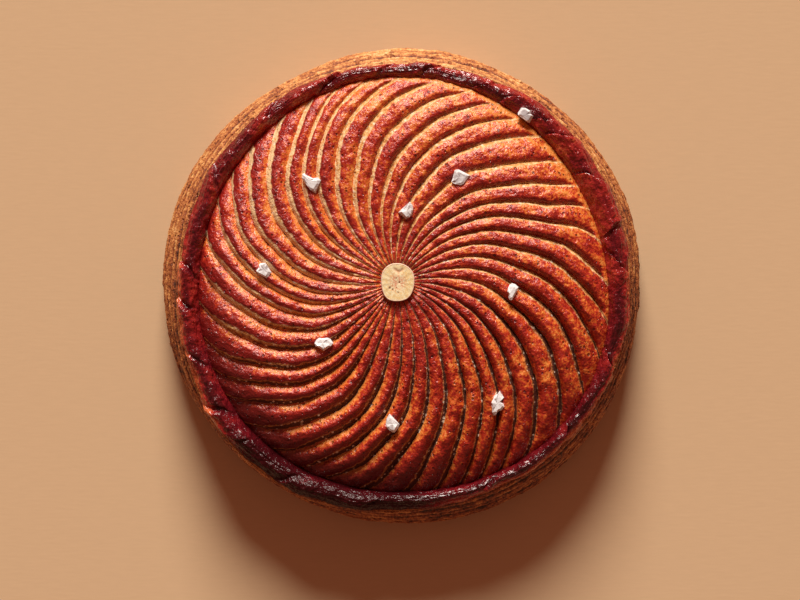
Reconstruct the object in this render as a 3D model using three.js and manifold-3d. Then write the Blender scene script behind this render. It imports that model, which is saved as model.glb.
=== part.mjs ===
/**
 * Galette des rois: a round cake of puff pastry with a spiral scored into its domed top,
 * a sealed rim round the dome, a risen side of thin leaves, a slice of hazelnut pressed
 * into the middle and nine coarse salt crystals baked onto the crust.
 *
 * Millimetres, +Z up. The origin is the middle of the flat base.
 */
import * as THREE from 'three';
import Module from 'manifold-3d';

// ---- Driving dimensions -------------------------------------------------------------

// Radii from the middle of the cake, and heights above the flat base.
const SIDE_RADIUS = 99.9;
const BASE_RADIUS = 98.3;
const RIM_RADIUS = 93.6;
const DOME_RADIUS = 86.4;
const DOME_HEIGHT = 42.5;
const VALLEY_HEIGHT = 29;
const RIM_HEIGHT = 33.5;
const RIM_EDGE_HEIGHT = 31.2;
const BULGE_HEIGHT = 12;

// The spiral turns about a pole a little off the middle, where the nut is.
const POLE = new THREE.Vector2(-2.1, 1.5);
const RIDGE_COUNT = 39;
const SCORED_RADIUS = 86;
const GROOVE_DEPTH = 2.1;

// How hand work strays from even: each wave is [cycles in a turn, size, crest in degrees].
const FIRST_RIDGE_DEG = 8.95;
const SPACING_WAVES_DEG = [
  [1, 6, 50], [2, 2.25, 8], [3, 5.05, -143], [4, 0.8, 166],
  [5, 0.5, -179], [6, 0.75, 58], [7, 0.4, 159], [8, 0.65, 6],
];
const SWEEP_DEG = 47.7;
const SWEEP_WAVES_DEG = [[1, 6.9, 87], [2, 4, -3], [3, 5.1, -127]];
const CURL = 1.78;
const CURL_WAVES = [[1, 0.61, -151], [2, 0.15, -165], [3, 0.47, 29]];
const SIDE_WAVES = [[2, 0.55, -34], [3, 0.5, 161], [5, 0.3, 91], [6, 0.25, 155]];
const RIM_WAVES = [[1, 0.6, -85], [2, 1.2, 66], [3, 0.7, -25], [4, 0.6, -159]];
const DOME_WAVES = [[1, 0.6, -87], [2, 0.9, -135], [3, 1.1, -83], [4, 0.4, -128]];
const VALLEY_WAVES = [[1, 1.6, 70]];
const RIM_HEIGHT_WAVES = [[3, 0.5, 75], [7, 0.35, 10]];

// The dome is almost level out to its shoulder, then falls steeply to the valley.
const DOME_LEVELNESS = 5;
const DOME_ROUNDNESS = 0.75;

// A groove is narrow between broad ridges. It is shallow at the pole, where grooves crowd
// together, reaches its full depth part of the way out, and grows shallow again at the edge.
const GROOVE_NARROWNESS = 3;
const POLE_GROOVE_SHARE = 0.15;
const EDGE_GROOVE_SHARE = 0.35;
const FULL_GROOVE_PART = 0.5;
const FADING_GROOVE_PART = 0.86;

// Across the rim, as shares of its width: the inner face and the crest.
const RIM_FACE_SHARE = 0.33;
const RIM_CREST_SHARE = 0.64;
const RIM_FACE_DROP = 2.2;
const RIM_SHOULDER_INSET = 0.5;
const RIM_SHOULDER_RISE = 0.8;

// Sealing folded the rim into slanted flaps, one lapping over the next.
const FLAP_COUNT = 19;
const FLAP_STEP = 1.2;
const FLAP_HEIGHT = 0.9;
const FLAP_SLANT_DEG = 4;
const FLAP_FACE_STEP = 0.5;

// The side tucks in roundly below its bulge and draws in above it to the rim.
const TUCK_ROUNDNESS = 2;
const DRAW_IN_ROUNDNESS = 1.7;

// The side shows its leaves as thin ledges, from a lip down to a recess.
const LEAF_COUNT = 9;
const LEAF_LIP_SHARE = 0.28;
const LEAF_RECESS_SHARE = 0.72;
const LEAF_RELIEF = 0.8;
const LEAF_RELIEF_SWING = 0.4;
const LEAF_RELIEF_CYCLES = 5;
const LEAF_WANDER = 0.35;
const LEAF_WANDER_CYCLES = 3;
const LEAF_WANDER_LAG = 2.3;
const LEAF_RELIEF_LAG = 1.9;

// The slice of nut: half its width and length, its height, and the seat it is pressed into.
const NUT_HALF = new THREE.Vector2(6.8, 7.8);
const NUT_ROUNDNESS = 2.6;
const NUT_HEIGHT = 3;
const NUT_EASE = 0.4;
const SEAT_DEPTH = 1.5;
const SEAT_RADIUS = 8.9;
const CLEARANCE = 0.3;

// Salt crystals: middle x and y, width, length, height and turn in degrees.
const CRYSTALS = [
  [-37.4, 42.1, 7.2, 5.6, 3.2, 35],
  [1.6, 30.8, 6.2, 6.6, 3.4, 40],
  [23.7, 44.3, 7, 6.2, 2.8, -25],
  [50.6, 70.4, 6, 5.6, 3.4, 28],
  [-57.1, 6.3, 6.4, 6, 3, -35],
  [-32.2, -23.7, 7.2, 5.2, 3.2, 5],
  [-4.1, -56.4, 4.8, 7.2, 3.2, 30],
  [38.6, -48.3, 5.6, 9.2, 3.4, -15],
  [45.2, -2.4, 4.2, 6.6, 3, -20],
];
const CRYSTAL_SINK = 0.3;
const CRYSTAL_FOOT = 0.25;
const CRYSTAL_ROUGHNESS = 0.16;
const CRYSTAL_SEED = 20;

// ---- Fineness -----------------------------------------------------------------------

// Columns run along the grooves: their stops within one ridge, from groove to groove.
const FINE_STOPS = [0, 0.2, 0.5, 0.8];
const COARSE_STOPS = [0, 0.5];
const HUB_PARTS = [0.15, 0.21];
const DOME_PARTS = [0.28, 0.36, 0.44, 0.52, 0.6, 0.68, 0.75, 0.81, 0.86, 0.9, 0.94, 0.975, 1];
const NUT_SIDES = 28;
const OUTLINE_SAMPLES = 720;

const TURN = 2 * Math.PI;
const radians = THREE.MathUtils.degToRad;

// ---- Rules of shape -----------------------------------------------------------------

/** Sum of a series of waves at an angle in radians. */
function strays(waves, angle) {
  return waves.reduce((sum, [cycles, size, crest]) => (
    sum + size * Math.cos(cycles * angle - radians(crest))), 0);
}

const sideRadius = (angle) => SIDE_RADIUS + strays(SIDE_WAVES, angle);
const rimRadius = (angle) => RIM_RADIUS + strays(RIM_WAVES, angle);
const domeRadius = (angle) => DOME_RADIUS + strays(DOME_WAVES, angle);
const valleyHeight = (angle) => VALLEY_HEIGHT + strays(VALLEY_WAVES, angle);

/** Direction of the scored line at a stop, counted in ridges, where it is a share of the way out. */
function scoredAngle(stop, reach) {
  const turn = TURN * stop / RIDGE_COUNT;
  const start = radians(FIRST_RIDGE_DEG + strays(SPACING_WAVES_DEG, turn)) + turn;
  const sweep = radians(SWEEP_DEG + strays(SWEEP_WAVES_DEG, turn));
  return start - sweep * reach ** (CURL + strays(CURL_WAVES, turn));
}

/** Distance from the pole to the dome's edge in a direction. */
function poleToEdge(angle) {
  return domeRadius(angle) - POLE.x * Math.cos(angle) - POLE.y * Math.sin(angle);
}

/** Height of the dome without its grooves, part of the way from the pole to the valley. */
function domeHeight(part, valley) {
  const rise = (1 - part ** DOME_LEVELNESS) ** DOME_ROUNDNESS;
  return valley + (DOME_HEIGHT - valley) * rise;
}

/** Depth of the grooves part of the way out. */
function grooveDepth(part) {
  const opening = THREE.MathUtils.smoothstep(part, 0, FULL_GROOVE_PART);
  const fading = THREE.MathUtils.smoothstep(part, FADING_GROOVE_PART, 1);
  const opened = THREE.MathUtils.lerp(POLE_GROOVE_SHARE, 1, opening);
  return GROOVE_DEPTH * opened * THREE.MathUtils.lerp(1, EDGE_GROOVE_SHARE, fading);
}

/** 1 at the bottom of a groove, 0 along the crest between two grooves. */
function cutShare(stop) {
  return Math.abs(2 * (stop - Math.floor(stop)) - 1) ** GROOVE_NARROWNESS;
}

/** Point of the scored dome at a stop, part of the way from the pole to the edge. */
function domePoint(stop, part) {
  const outward = scoredAngle(stop, DOME_RADIUS / SCORED_RADIUS);
  const edgeAngle = scoredAngle(stop, poleToEdge(outward) / SCORED_RADIUS);
  const radius = part * poleToEdge(edgeAngle);
  const angle = scoredAngle(stop, radius / SCORED_RADIUS);
  return new THREE.Vector3(
    POLE.x + radius * Math.cos(angle),
    POLE.y + radius * Math.sin(angle),
    domeHeight(part, valleyHeight(edgeAngle)) - grooveDepth(part) * cutShare(stop),
  );
}

/** Point at a direction, distance and height from the middle of the base. */
function around(angle, radius, height) {
  return new THREE.Vector3(radius * Math.cos(angle), radius * Math.sin(angle), height);
}

/** Place along a flap of the rim, rising from -0.5 to 0.5 and falling back at the lap. */
function flap(angle) {
  const place = FLAP_COUNT * angle / TURN;
  return place - Math.floor(place) - 0.5;
}

/** Radius of the risen side at a height, without its leaves. */
function sideAt(angle, height) {
  const widest = sideRadius(angle);
  if (height < BULGE_HEIGHT) {
    return widest - (SIDE_RADIUS - BASE_RADIUS) * (1 - height / BULGE_HEIGHT) ** TUCK_ROUNDNESS;
  }
  const climb = (height - BULGE_HEIGHT) / (RIM_EDGE_HEIGHT - BULGE_HEIGHT);
  return widest - (widest - rimRadius(angle)) * climb ** DRAW_IN_ROUNDNESS;
}

// ---- Closed shells from rows of points ------------------------------------------------

/** Stops of every ridge in turn. */
function stopsOf(pattern) {
  return Array.from({ length: RIDGE_COUNT }, (_, ridge) => pattern.map((share) => ridge + share)).flat();
}

/**
 * Closed solid whose skin joins rows of points, from a first middle point to a last one.
 * A row has as many points as the one before it, or twice or half as many.
 */
function shellGeometry(first, rows, last) {
  const points = [first, ...rows.flat(), last];
  const faces = [];
  const starts = [];
  let start = 1;
  for (const row of rows) {
    starts.push(start);
    start += row.length;
  }
  const fan = (middle, rowIndex, outward) => {
    const count = rows[rowIndex].length;
    for (let i = 0; i < count; i += 1) {
      const here = starts[rowIndex] + i;
      const next = starts[rowIndex] + (i + 1) % count;
      faces.push(...(outward ? [middle, here, next] : [middle, next, here]));
    }
  };
  const bridge = (rowIndex) => {
    const [inner, outer] = [rows[rowIndex].length, rows[rowIndex + 1].length];
    const at = (i) => starts[rowIndex] + i % inner;
    const beyond = (i) => starts[rowIndex + 1] + i % outer;
    for (let i = 0; i < Math.min(inner, outer); i += 1) {
      if (inner === outer) {
        faces.push(at(i), beyond(i), beyond(i + 1), at(i), beyond(i + 1), at(i + 1));
      } else if (outer > inner) {
        faces.push(at(i), beyond(2 * i), beyond(2 * i + 1));
        faces.push(at(i), beyond(2 * i + 1), at(i + 1));
        faces.push(at(i + 1), beyond(2 * i + 1), beyond(2 * i + 2));
      } else {
        faces.push(at(2 * i), beyond(i), at(2 * i + 1));
        faces.push(at(2 * i + 1), beyond(i), beyond(i + 1));
        faces.push(at(2 * i + 1), beyond(i + 1), at(2 * i + 2));
      }
    }
  };
  fan(0, 0, true);
  rows.slice(1).forEach((_, rowIndex) => bridge(rowIndex));
  fan(points.length - 1, rows.length - 1, false);

  const geometry = new THREE.BufferGeometry();
  geometry.setAttribute('position', new THREE.Float32BufferAttribute(points.flatMap((p) => p.toArray()), 3));
  geometry.setIndex(faces);
  return geometry;
}

// ---- Pastry -------------------------------------------------------------------------

/** Seat of the nut and the scored dome, from the middle out to the valley. */
function domeRows(coarse, fine) {
  const seatHeight = DOME_HEIGHT - SEAT_DEPTH;
  const seatRing = (height) => coarse.map((stop) => {
    const angle = scoredAngle(stop, SEAT_RADIUS / SCORED_RADIUS);
    return around(angle, SEAT_RADIUS, height).add(new THREE.Vector3(POLE.x, POLE.y, 0));
  });
  return [
    seatRing(seatHeight),
    seatRing(DOME_HEIGHT),
    ...HUB_PARTS.map((part) => coarse.map((stop) => domePoint(stop, part))),
    ...DOME_PARTS.map((part) => fine.map((stop) => domePoint(stop, part))),
  ];
}

/** Inner face, crest and outer shoulder of the sealed rim, in its slanted flaps. */
function rimRows(angles) {
  const across = (angle, share) => THREE.MathUtils.lerp(domeRadius(angle), rimRadius(angle), share);
  const face = angles.map((angle) => {
    const radius = across(angle, RIM_FACE_SHARE) - FLAP_FACE_STEP * flap(angle + radians(FLAP_SLANT_DEG));
    return around(angle, radius, RIM_HEIGHT - RIM_FACE_DROP);
  });
  const crest = angles.map((angle) => {
    const radius = across(angle, RIM_CREST_SHARE) + FLAP_STEP * flap(angle);
    const height = RIM_HEIGHT + strays(RIM_HEIGHT_WAVES, angle) + FLAP_HEIGHT * flap(angle);
    return around(angle, radius, height);
  });
  const shoulder = angles.map((angle) => {
    const height = RIM_EDGE_HEIGHT + RIM_SHOULDER_RISE + strays(RIM_HEIGHT_WAVES, angle) / 2;
    return around(angle, rimRadius(angle) - RIM_SHOULDER_INSET, height);
  });
  return [face, crest, shoulder];
}

/** Ledges of the leaves, from the rim's edge down to the base. */
function sideRows(angles) {
  const heightAt = (angle, leaf, share) => (
    RIM_EDGE_HEIGHT * (1 - (leaf + share) / LEAF_COUNT)
    + LEAF_WANDER * Math.sin((LEAF_WANDER_CYCLES + leaf) * angle + LEAF_WANDER_LAG * leaf));
  const lip = (leaf) => angles.map((angle) => {
    const height = heightAt(angle, leaf, LEAF_LIP_SHARE);
    return around(angle, sideAt(angle, height), height);
  });
  const recess = (leaf) => angles.map((angle) => {
    const height = heightAt(angle, leaf, LEAF_RECESS_SHARE);
    const swing = LEAF_RELIEF_SWING * Math.sin(LEAF_RELIEF_CYCLES * angle - LEAF_RELIEF_LAG * leaf);
    return around(angle, sideAt(angle, height) - LEAF_RELIEF - swing, height);
  });
  const leaves = Array.from({ length: LEAF_COUNT }, (_, leaf) => [lip(leaf), recess(leaf)]);
  const base = angles.map((angle) => around(angle, sideAt(angle, 0), 0));
  return [...leaves.flat(), base];
}

/** The whole crust without its salt. */
function crustGeometry() {
  const fine = stopsOf(FINE_STOPS);
  const coarse = stopsOf(COARSE_STOPS);
  const edgeAngle = (stop) => {
    const point = domePoint(stop, 1);
    return Math.atan2(point.y, point.x);
  };
  const rows = [
    ...domeRows(coarse, fine),
    ...rimRows(fine.map(edgeAngle)),
    ...sideRows(coarse.map(edgeAngle)),
  ];
  const seat = new THREE.Vector3(POLE.x, POLE.y, DOME_HEIGHT - SEAT_DEPTH);
  return shellGeometry(seat, rows, new THREE.Vector3(0, 0, 0));
}

// ---- Salt ---------------------------------------------------------------------------

/** Repeatable random numbers from 0 to 1. */
function randomSource(seed) {
  let state = seed;
  return () => {
    state = (state + 0x6d2b79f5) | 0;
    let mixed = Math.imul(state ^ (state >>> 15), 1 | state);
    mixed = (mixed + Math.imul(mixed ^ (mixed >>> 7), 61 | mixed)) ^ mixed;
    return ((mixed ^ (mixed >>> 14)) >>> 0) / 2 ** 32;
  };
}

/** Height at which a crystal rests: the mean of the crust under its middle and four feet round it. */
function restingHeight(crust, [x, y, width, length]) {
  const above = 2 * DOME_HEIGHT;
  const feet = [[0, 0], [1, 0], [-1, 0], [0, 1], [0, -1]].map(([across, along]) => (
    new THREE.Vector3(x + CRYSTAL_FOOT * across * width, y + CRYSTAL_FOOT * along * length, above)));
  const down = new THREE.Vector3(0, 0, -1);
  const heights = feet.map((foot) => new THREE.Raycaster(foot, down).intersectObject(crust)[0].point.z);
  return heights.reduce((sum, height) => sum + height, 0) / heights.length;
}

/** One broken crystal: a rough twenty-sided lump, wide and low. */
function crystalGeometry(crystal, crust, random) {
  const [x, y, width, length, height, turn] = crystal;
  const halfSize = new THREE.Vector3(width, length, height).multiplyScalar(0.5);
  const lump = new THREE.IcosahedronGeometry(1, 0);
  const corners = lump.getAttribute('position');
  const shifts = new Map();
  for (let i = 0; i < corners.count; i += 1) {
    const corner = new THREE.Vector3().fromBufferAttribute(corners, i);
    const name = corner.toArray().map((value) => value.toFixed(3)).join();
    if (!shifts.has(name)) {
      shifts.set(name, 1 + CRYSTAL_ROUGHNESS * (2 * random() - 1));
    }
    corner.multiply(halfSize).multiplyScalar(shifts.get(name));
    corners.setXYZ(i, corner.x, corner.y, corner.z);
  }
  lump.rotateZ(radians(turn));
  lump.translate(x, y, restingHeight(crust, crystal) + height * (0.5 - CRYSTAL_SINK));
  return lump;
}

// ---- Joining ------------------------------------------------------------------------

const wasm = await Module();
wasm.setup();

/** Solid of a geometry, with the points that lie together made one. */
function solidOf(geometry) {
  const positions = geometry.getAttribute('position');
  const index = geometry.getIndex();
  const places = new Map();
  const vertices = [];
  const triangles = [];
  for (let i = 0; i < (index ? index.count : positions.count); i += 1) {
    const point = new THREE.Vector3().fromBufferAttribute(positions, index ? index.getX(i) : i);
    const name = point.toArray().map((value) => value.toFixed(4)).join();
    if (!places.has(name)) {
      places.set(name, places.size);
      vertices.push(...point.toArray());
    }
    triangles.push(places.get(name));
  }
  return new wasm.Manifold(new wasm.Mesh({
    numProp: 3,
    vertProperties: new Float32Array(vertices),
    triVerts: new Uint32Array(triangles),
  }));
}

/** Geometry of a solid. */
function geometryOf(solid) {
  const mesh = solid.getMesh();
  const geometry = new THREE.BufferGeometry();
  geometry.setAttribute('position', new THREE.BufferAttribute(mesh.vertProperties, 3));
  geometry.setIndex(new THREE.BufferAttribute(mesh.triVerts, 1));
  geometry.computeVertexNormals();
  return geometry;
}

/** Crust and salt as one solid. */
function galetteGeometry() {
  const random = randomSource(CRYSTAL_SEED);
  const bare = crustGeometry();
  const crust = new THREE.Mesh(bare, crustMaterial);
  const salt = CRYSTALS.map((crystal) => solidOf(crystalGeometry(crystal, crust, random)));
  return geometryOf(salt.reduce((body, crystal) => body.add(crystal), solidOf(bare)));
}

// ---- Nut ----------------------------------------------------------------------------

/** Flat slice across a nut: a rounded oval with eased edges. */
function nutGeometry() {
  const angles = Array.from({ length: NUT_SIDES }, (_, i) => TURN * i / NUT_SIDES);
  const bottom = DOME_HEIGHT - SEAT_DEPTH + CLEARANCE;
  const signedPower = (value) => Math.sign(value) * Math.abs(value) ** (2 / NUT_ROUNDNESS);
  const ring = (inset, height) => angles.map((angle) => new THREE.Vector3(
    POLE.x + (NUT_HALF.x - inset) * signedPower(Math.cos(angle)),
    POLE.y + (NUT_HALF.y - inset) * signedPower(Math.sin(angle)),
    bottom + height,
  ));
  const rows = [
    ring(NUT_EASE, NUT_HEIGHT),
    ring(0, NUT_HEIGHT - NUT_EASE),
    ring(0, NUT_EASE),
    ring(NUT_EASE, 0),
  ];
  const top = new THREE.Vector3(POLE.x, POLE.y, bottom + NUT_HEIGHT);
  const geometry = shellGeometry(top, rows, new THREE.Vector3(POLE.x, POLE.y, bottom));
  geometry.computeVertexNormals();
  return geometry;
}

// ---- Whole object -------------------------------------------------------------------

/** Shift that puts the middle of the outline over the origin. */
function centring() {
  const box = new THREE.Box2();
  for (let i = 0; i < OUTLINE_SAMPLES; i += 1) {
    const angle = TURN * i / OUTLINE_SAMPLES;
    const radius = sideRadius(angle);
    box.expandByPoint(new THREE.Vector2(radius * Math.cos(angle), radius * Math.sin(angle)));
  }
  return box.getCenter(new THREE.Vector2()).negate();
}

const crustMaterial = new THREE.MeshStandardMaterial({ color: 0xb4522c, roughness: 0.5, metalness: 0 });
const nutMaterial = new THREE.MeshStandardMaterial({ color: 0xe3c491, roughness: 0.7, metalness: 0 });

const galette = new THREE.Mesh(galetteGeometry(), crustMaterial);
galette.name = 'galette';

const hazelnut = new THREE.Mesh(nutGeometry(), nutMaterial);
hazelnut.name = 'hazelnut_slice';

const cake = new THREE.Group();
cake.name = 'galette_des_rois';
const shift = centring();
cake.position.set(shift.x, shift.y, 0);
cake.add(galette, hazelnut);

export default cake;
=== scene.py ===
"""Galette des rois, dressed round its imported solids.

A round cake of puff pastry: a domed crust scored in a spiral and glazed with egg, a sealed
rim of dark caramel, a risen side of thin leaves, a slice of hazelnut and coarse salt.
Lengths are metres, +Z is up, and the origin is the middle of the flat base.
"""
import logging
import math
from collections.abc import Callable
from dataclasses import dataclass
from enum import Enum
from functools import partial, reduce

import bpy
import numpy as np
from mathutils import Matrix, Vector
from mathutils.bvhtree import BVHTree


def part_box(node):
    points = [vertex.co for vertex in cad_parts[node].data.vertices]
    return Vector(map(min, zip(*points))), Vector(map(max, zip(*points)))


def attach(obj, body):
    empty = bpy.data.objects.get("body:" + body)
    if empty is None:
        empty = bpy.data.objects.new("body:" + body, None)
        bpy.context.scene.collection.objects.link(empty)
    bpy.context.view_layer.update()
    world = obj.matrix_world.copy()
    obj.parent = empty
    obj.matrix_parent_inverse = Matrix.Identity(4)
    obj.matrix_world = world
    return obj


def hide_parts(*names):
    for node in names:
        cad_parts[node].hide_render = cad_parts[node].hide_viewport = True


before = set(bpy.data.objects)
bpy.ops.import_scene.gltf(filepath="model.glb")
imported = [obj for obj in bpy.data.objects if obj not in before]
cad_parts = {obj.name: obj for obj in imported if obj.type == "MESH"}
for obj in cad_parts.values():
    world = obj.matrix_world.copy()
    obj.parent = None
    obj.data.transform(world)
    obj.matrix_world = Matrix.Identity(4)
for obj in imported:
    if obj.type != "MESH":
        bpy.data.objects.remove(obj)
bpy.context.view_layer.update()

LOG = logging.getLogger("galette")

MM = 0.001
TURN = 2 * math.pi
# From the middle of the base to the pole of the spiral, where the nut lies.
POLE_OFFSET = Vector((-2.1 * MM, 1.5 * MM, 0))

Wave = tuple[int, float, float]
Colour = tuple[float, float, float]
Point = tuple[float, float]
Socket = bpy.types.NodeSocket
Term = Socket | float | tuple
Ground = Callable[[float, float], float]


class Body(Enum):
    """Bodies of the frame that pieces ride on."""

    CAKE = "root"


class Slot(Enum):
    """Material slots."""

    CRUST = "crust"
    SIDE = "flaky_side"
    NUT = "nut"
    SALT = "salt"


# ---- Rules of form --------------------------------------------------------------------


def strays(waves: tuple[Wave, ...], angle: np.ndarray) -> np.ndarray:
    """Sum the waves by which hand work strays from even.

    Args:
        waves: Cycles in a turn, size and crest in degrees of each wave.
        angle: Directions in radians.

    Returns:
        The sum at each direction.
    """
    return sum(size * np.cos(cycles * angle - math.radians(crest)) for cycles, size, crest in waves)


def smooth_step(value: np.ndarray, low: float, high: float) -> np.ndarray:
    """Rise smoothly from 0 at low to 1 at high.

    Args:
        value: Numbers to grade.
        low: Where the rise starts.
        high: Where it ends.

    Returns:
        The graded numbers.
    """
    share = np.clip((value - low) / (high - low), 0, 1)
    return share * share * (3 - 2 * share)


def toward(angle: np.ndarray, degrees: float, low: float, high: float) -> np.ndarray:
    """Share by which directions lie toward one direction.

    Args:
        angle: Directions in radians.
        degrees: The direction that they may lie toward.
        low: Cosine of the turn away from it at which the share starts.
        high: Cosine of the turn at which it is whole.

    Returns:
        The share, from 0 to 1, in each direction.
    """
    return smooth_step(np.cos(angle - math.radians(degrees)), low, high)


def uneven(angle: np.ndarray, random: np.random.Generator, size: float) -> np.ndarray:
    """Draw a smooth uneven line round the cake.

    Args:
        angle: Directions in radians.
        random: Source of the draw.
        size: Typical size of its swing.

    Returns:
        The line's value in each direction.
    """
    line = np.zeros_like(angle)
    for cycles in (7, 11, 16, 23, 31, 43):
        line += size * random.normal() * np.cos(cycles * angle + random.uniform(0, TURN)) / 1.7
    return line


def spread_by_length(across: np.ndarray, up: np.ndarray, count: int) -> np.ndarray:
    """Place rows evenly along a profile.

    Args:
        across: Distances of fine samples of the profile.
        up: Heights of the same samples.
        count: Number of rows.

    Returns:
        The share of the samples, from 0 to 1, at which each row lies.
    """
    steps = np.hypot(np.diff(across), np.diff(up))
    length = np.concatenate([[0], np.cumsum(steps)])
    samples = np.linspace(0, 1, len(across))
    return np.interp(np.linspace(0, length[-1], count), length, samples)


@dataclass(frozen=True)
class CakeForm:
    """The rule of the cake's form, shared by the crust, the rim and the side.

    Sizes that stray with the direction have their even value first and then their waves.
    """

    middle: Vector
    pole: Vector
    base_height: float
    side_radius: float = 99.9 * MM
    base_radius: float = 98.3 * MM
    rim_radius: float = 93.6 * MM
    dome_radius: float = 86.4 * MM
    dome_height: float = 42.5 * MM
    valley_height: float = 29 * MM
    rim_height: float = 33.5 * MM
    rim_edge_height: float = 31.2 * MM
    bulge_height: float = 12 * MM
    dome_levelness: float = 5
    dome_roundness: float = 0.75
    ridges: int = 39
    scored_radius: float = 86 * MM
    first_ridge_deg: float = 8.95
    spacing_deg: tuple[Wave, ...] = (
        (1, 6, 50), (2, 2.25, 8), (3, 5.05, -143), (4, 0.8, 166),
        (5, 0.5, -179), (6, 0.75, 58), (7, 0.4, 159), (8, 0.65, 6),
    )
    sweep_deg: float = 47.7
    sweep_strays_deg: tuple[Wave, ...] = ((1, 6.9, 87), (2, 4, -3), (3, 5.1, -127))
    curl: float = 1.78
    curl_strays: tuple[Wave, ...] = ((1, 0.61, -151), (2, 0.15, -165), (3, 0.47, 29))
    side_strays: tuple[Wave, ...] = (
        (2, 0.55 * MM, -34), (3, 0.5 * MM, 161), (5, 0.3 * MM, 91), (6, 0.25 * MM, 155),
    )
    rim_strays: tuple[Wave, ...] = (
        (1, 0.6 * MM, -85), (2, 1.2 * MM, 66), (3, 0.7 * MM, -25), (4, 0.6 * MM, -159),
    )
    dome_strays: tuple[Wave, ...] = (
        (1, 0.6 * MM, -87), (2, 0.9 * MM, -135), (3, 1.1 * MM, -83), (4, 0.4 * MM, -128),
    )
    rim_height_strays: tuple[Wave, ...] = ((3, 0.5 * MM, 75), (7, 0.35 * MM, 10))
    valley_strays: tuple[Wave, ...] = ((1, 1.6 * MM, 70),)

    def side(self, angle: np.ndarray) -> np.ndarray:
        """Widest radius of the side in each direction."""
        return self.side_radius + strays(self.side_strays, angle)

    def rim(self, angle: np.ndarray) -> np.ndarray:
        """Outer radius of the rim in each direction."""
        return self.rim_radius + strays(self.rim_strays, angle)

    def dome(self, angle: np.ndarray) -> np.ndarray:
        """Radius of the dome's edge in each direction."""
        return self.dome_radius + strays(self.dome_strays, angle)

    def side_at(self, angle: np.ndarray, height: np.ndarray) -> np.ndarray:
        """Radius of the risen side at a height, without its leaves.

        Args:
            angle: Directions in radians.
            height: Heights above the base.

        Returns:
            The radius at each direction and height.
        """
        widest = self.side(angle)
        tuck = np.clip(1 - height / self.bulge_height, 0, 1) ** 2
        climb = np.clip((height - self.bulge_height) / (self.rim_edge_height - self.bulge_height), 0, 2)
        draw_in = (widest - self.rim(angle)) * climb ** 1.7
        return widest - (self.side_radius - self.base_radius) * tuck - draw_in

    def scored_angle(self, stop: np.ndarray, reach: np.ndarray) -> np.ndarray:
        """Direction of a scored line seen from the pole.

        Args:
            stop: Place round the spiral, counted in ridges.
            reach: Share of the way out to the scored radius.

        Returns:
            The direction in radians.
        """
        turn = TURN * stop / self.ridges
        start = np.radians(self.first_ridge_deg + strays(self.spacing_deg, turn)) + turn
        sweep = np.radians(self.sweep_deg + strays(self.sweep_strays_deg, turn))
        return start - sweep * reach ** (self.curl + strays(self.curl_strays, turn))

    def pole_to_edge(self, angle: np.ndarray) -> np.ndarray:
        """Distance from the pole to the dome's edge in each direction."""
        offset = self.pole - self.middle
        return self.dome(angle) - offset.x * np.cos(angle) - offset.y * np.sin(angle)

    def valley(self, angle: np.ndarray) -> np.ndarray:
        """Height of the valley between the dome and the rim in each direction."""
        return self.valley_height + strays(self.valley_strays, angle)

    def dome_height_at(self, part: np.ndarray, valley: np.ndarray | float) -> np.ndarray:
        """Height of the dome without its grooves.

        Args:
            part: Shares of the way out.
            valley: Height of the valley round the dome.

        Returns:
            The heights.
        """
        rise = np.clip(1 - part ** self.dome_levelness, 0, 1) ** self.dome_roundness
        return valley + (self.dome_height - valley) * rise

    def dome_points(self, stop: np.ndarray, part: np.ndarray) -> np.ndarray:
        """Points of the smooth dome along the scored lines.

        Args:
            stop: Places round the spiral, counted in ridges.
            part: Shares of the way from the pole to the dome's edge.

        Returns:
            An array of points with a row for each part and a column for each stop.
        """
        stop, part = stop[None, :], part[:, None]
        outward = self.scored_angle(stop, self.dome_radius / self.scored_radius)
        edge_angle = self.scored_angle(stop, self.pole_to_edge(outward) / self.scored_radius)
        radius = part * self.pole_to_edge(edge_angle)
        angle = self.scored_angle(stop, radius / self.scored_radius)
        height = self.dome_height_at(part, self.valley(edge_angle))
        x = self.pole.x + radius * np.cos(angle)
        y = self.pole.y + radius * np.sin(angle)
        return np.stack([x, y, height], axis=-1)

    def around(self, angle: np.ndarray, radius: np.ndarray, height: np.ndarray) -> np.ndarray:
        """Points at directions, distances and heights from the middle of the base.

        Args:
            angle: Directions in radians.
            radius: Distances from the middle.
            height: Heights above the base.

        Returns:
            The points, with x, y and z along the last axis.
        """
        angle, radius, height = np.broadcast_arrays(angle, radius, height)
        x = self.middle.x + radius * np.cos(angle)
        y = self.middle.y + radius * np.sin(angle)
        return np.stack([x, y, height + self.base_height], axis=-1)


# ---- Meshes ---------------------------------------------------------------------------


def ring_faces(rows: int, columns: int, wrap_rows: bool) -> np.ndarray:
    """Quads between neighbouring rings of points.

    Args:
        rows: Number of rings.
        columns: Points in each ring.
        wrap_rows: Whether the last ring joins the first.

    Returns:
        Four point numbers for each quad.
    """
    row = np.arange(rows if wrap_rows else rows - 1)[:, None]
    column = np.arange(columns)[None, :]
    beyond = (row + 1) % rows
    beside = (column + 1) % columns
    corners = [row * columns + column, beyond * columns + column,
               beyond * columns + beside, row * columns + beside]
    return np.stack(np.broadcast_arrays(*corners), axis=-1).reshape(-1, 4)


def mesh_object(name: str, points: np.ndarray, faces: list, smooth: bool = True) -> bpy.types.Object:
    """Make an object of a mesh at the origin of the frame.

    Args:
        name: Name of the piece.
        points: The points.
        faces: Point numbers of each face.
        smooth: Whether the faces are shaded smooth.

    Returns:
        The object, linked to the scene.
    """
    mesh = bpy.data.meshes.new(name)
    mesh.from_pydata(points, [], faces)
    if smooth:
        mesh.shade_smooth()
    mesh.validate()
    piece = bpy.data.objects.new(name, mesh)
    bpy.context.scene.collection.objects.link(piece)
    return piece


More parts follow.
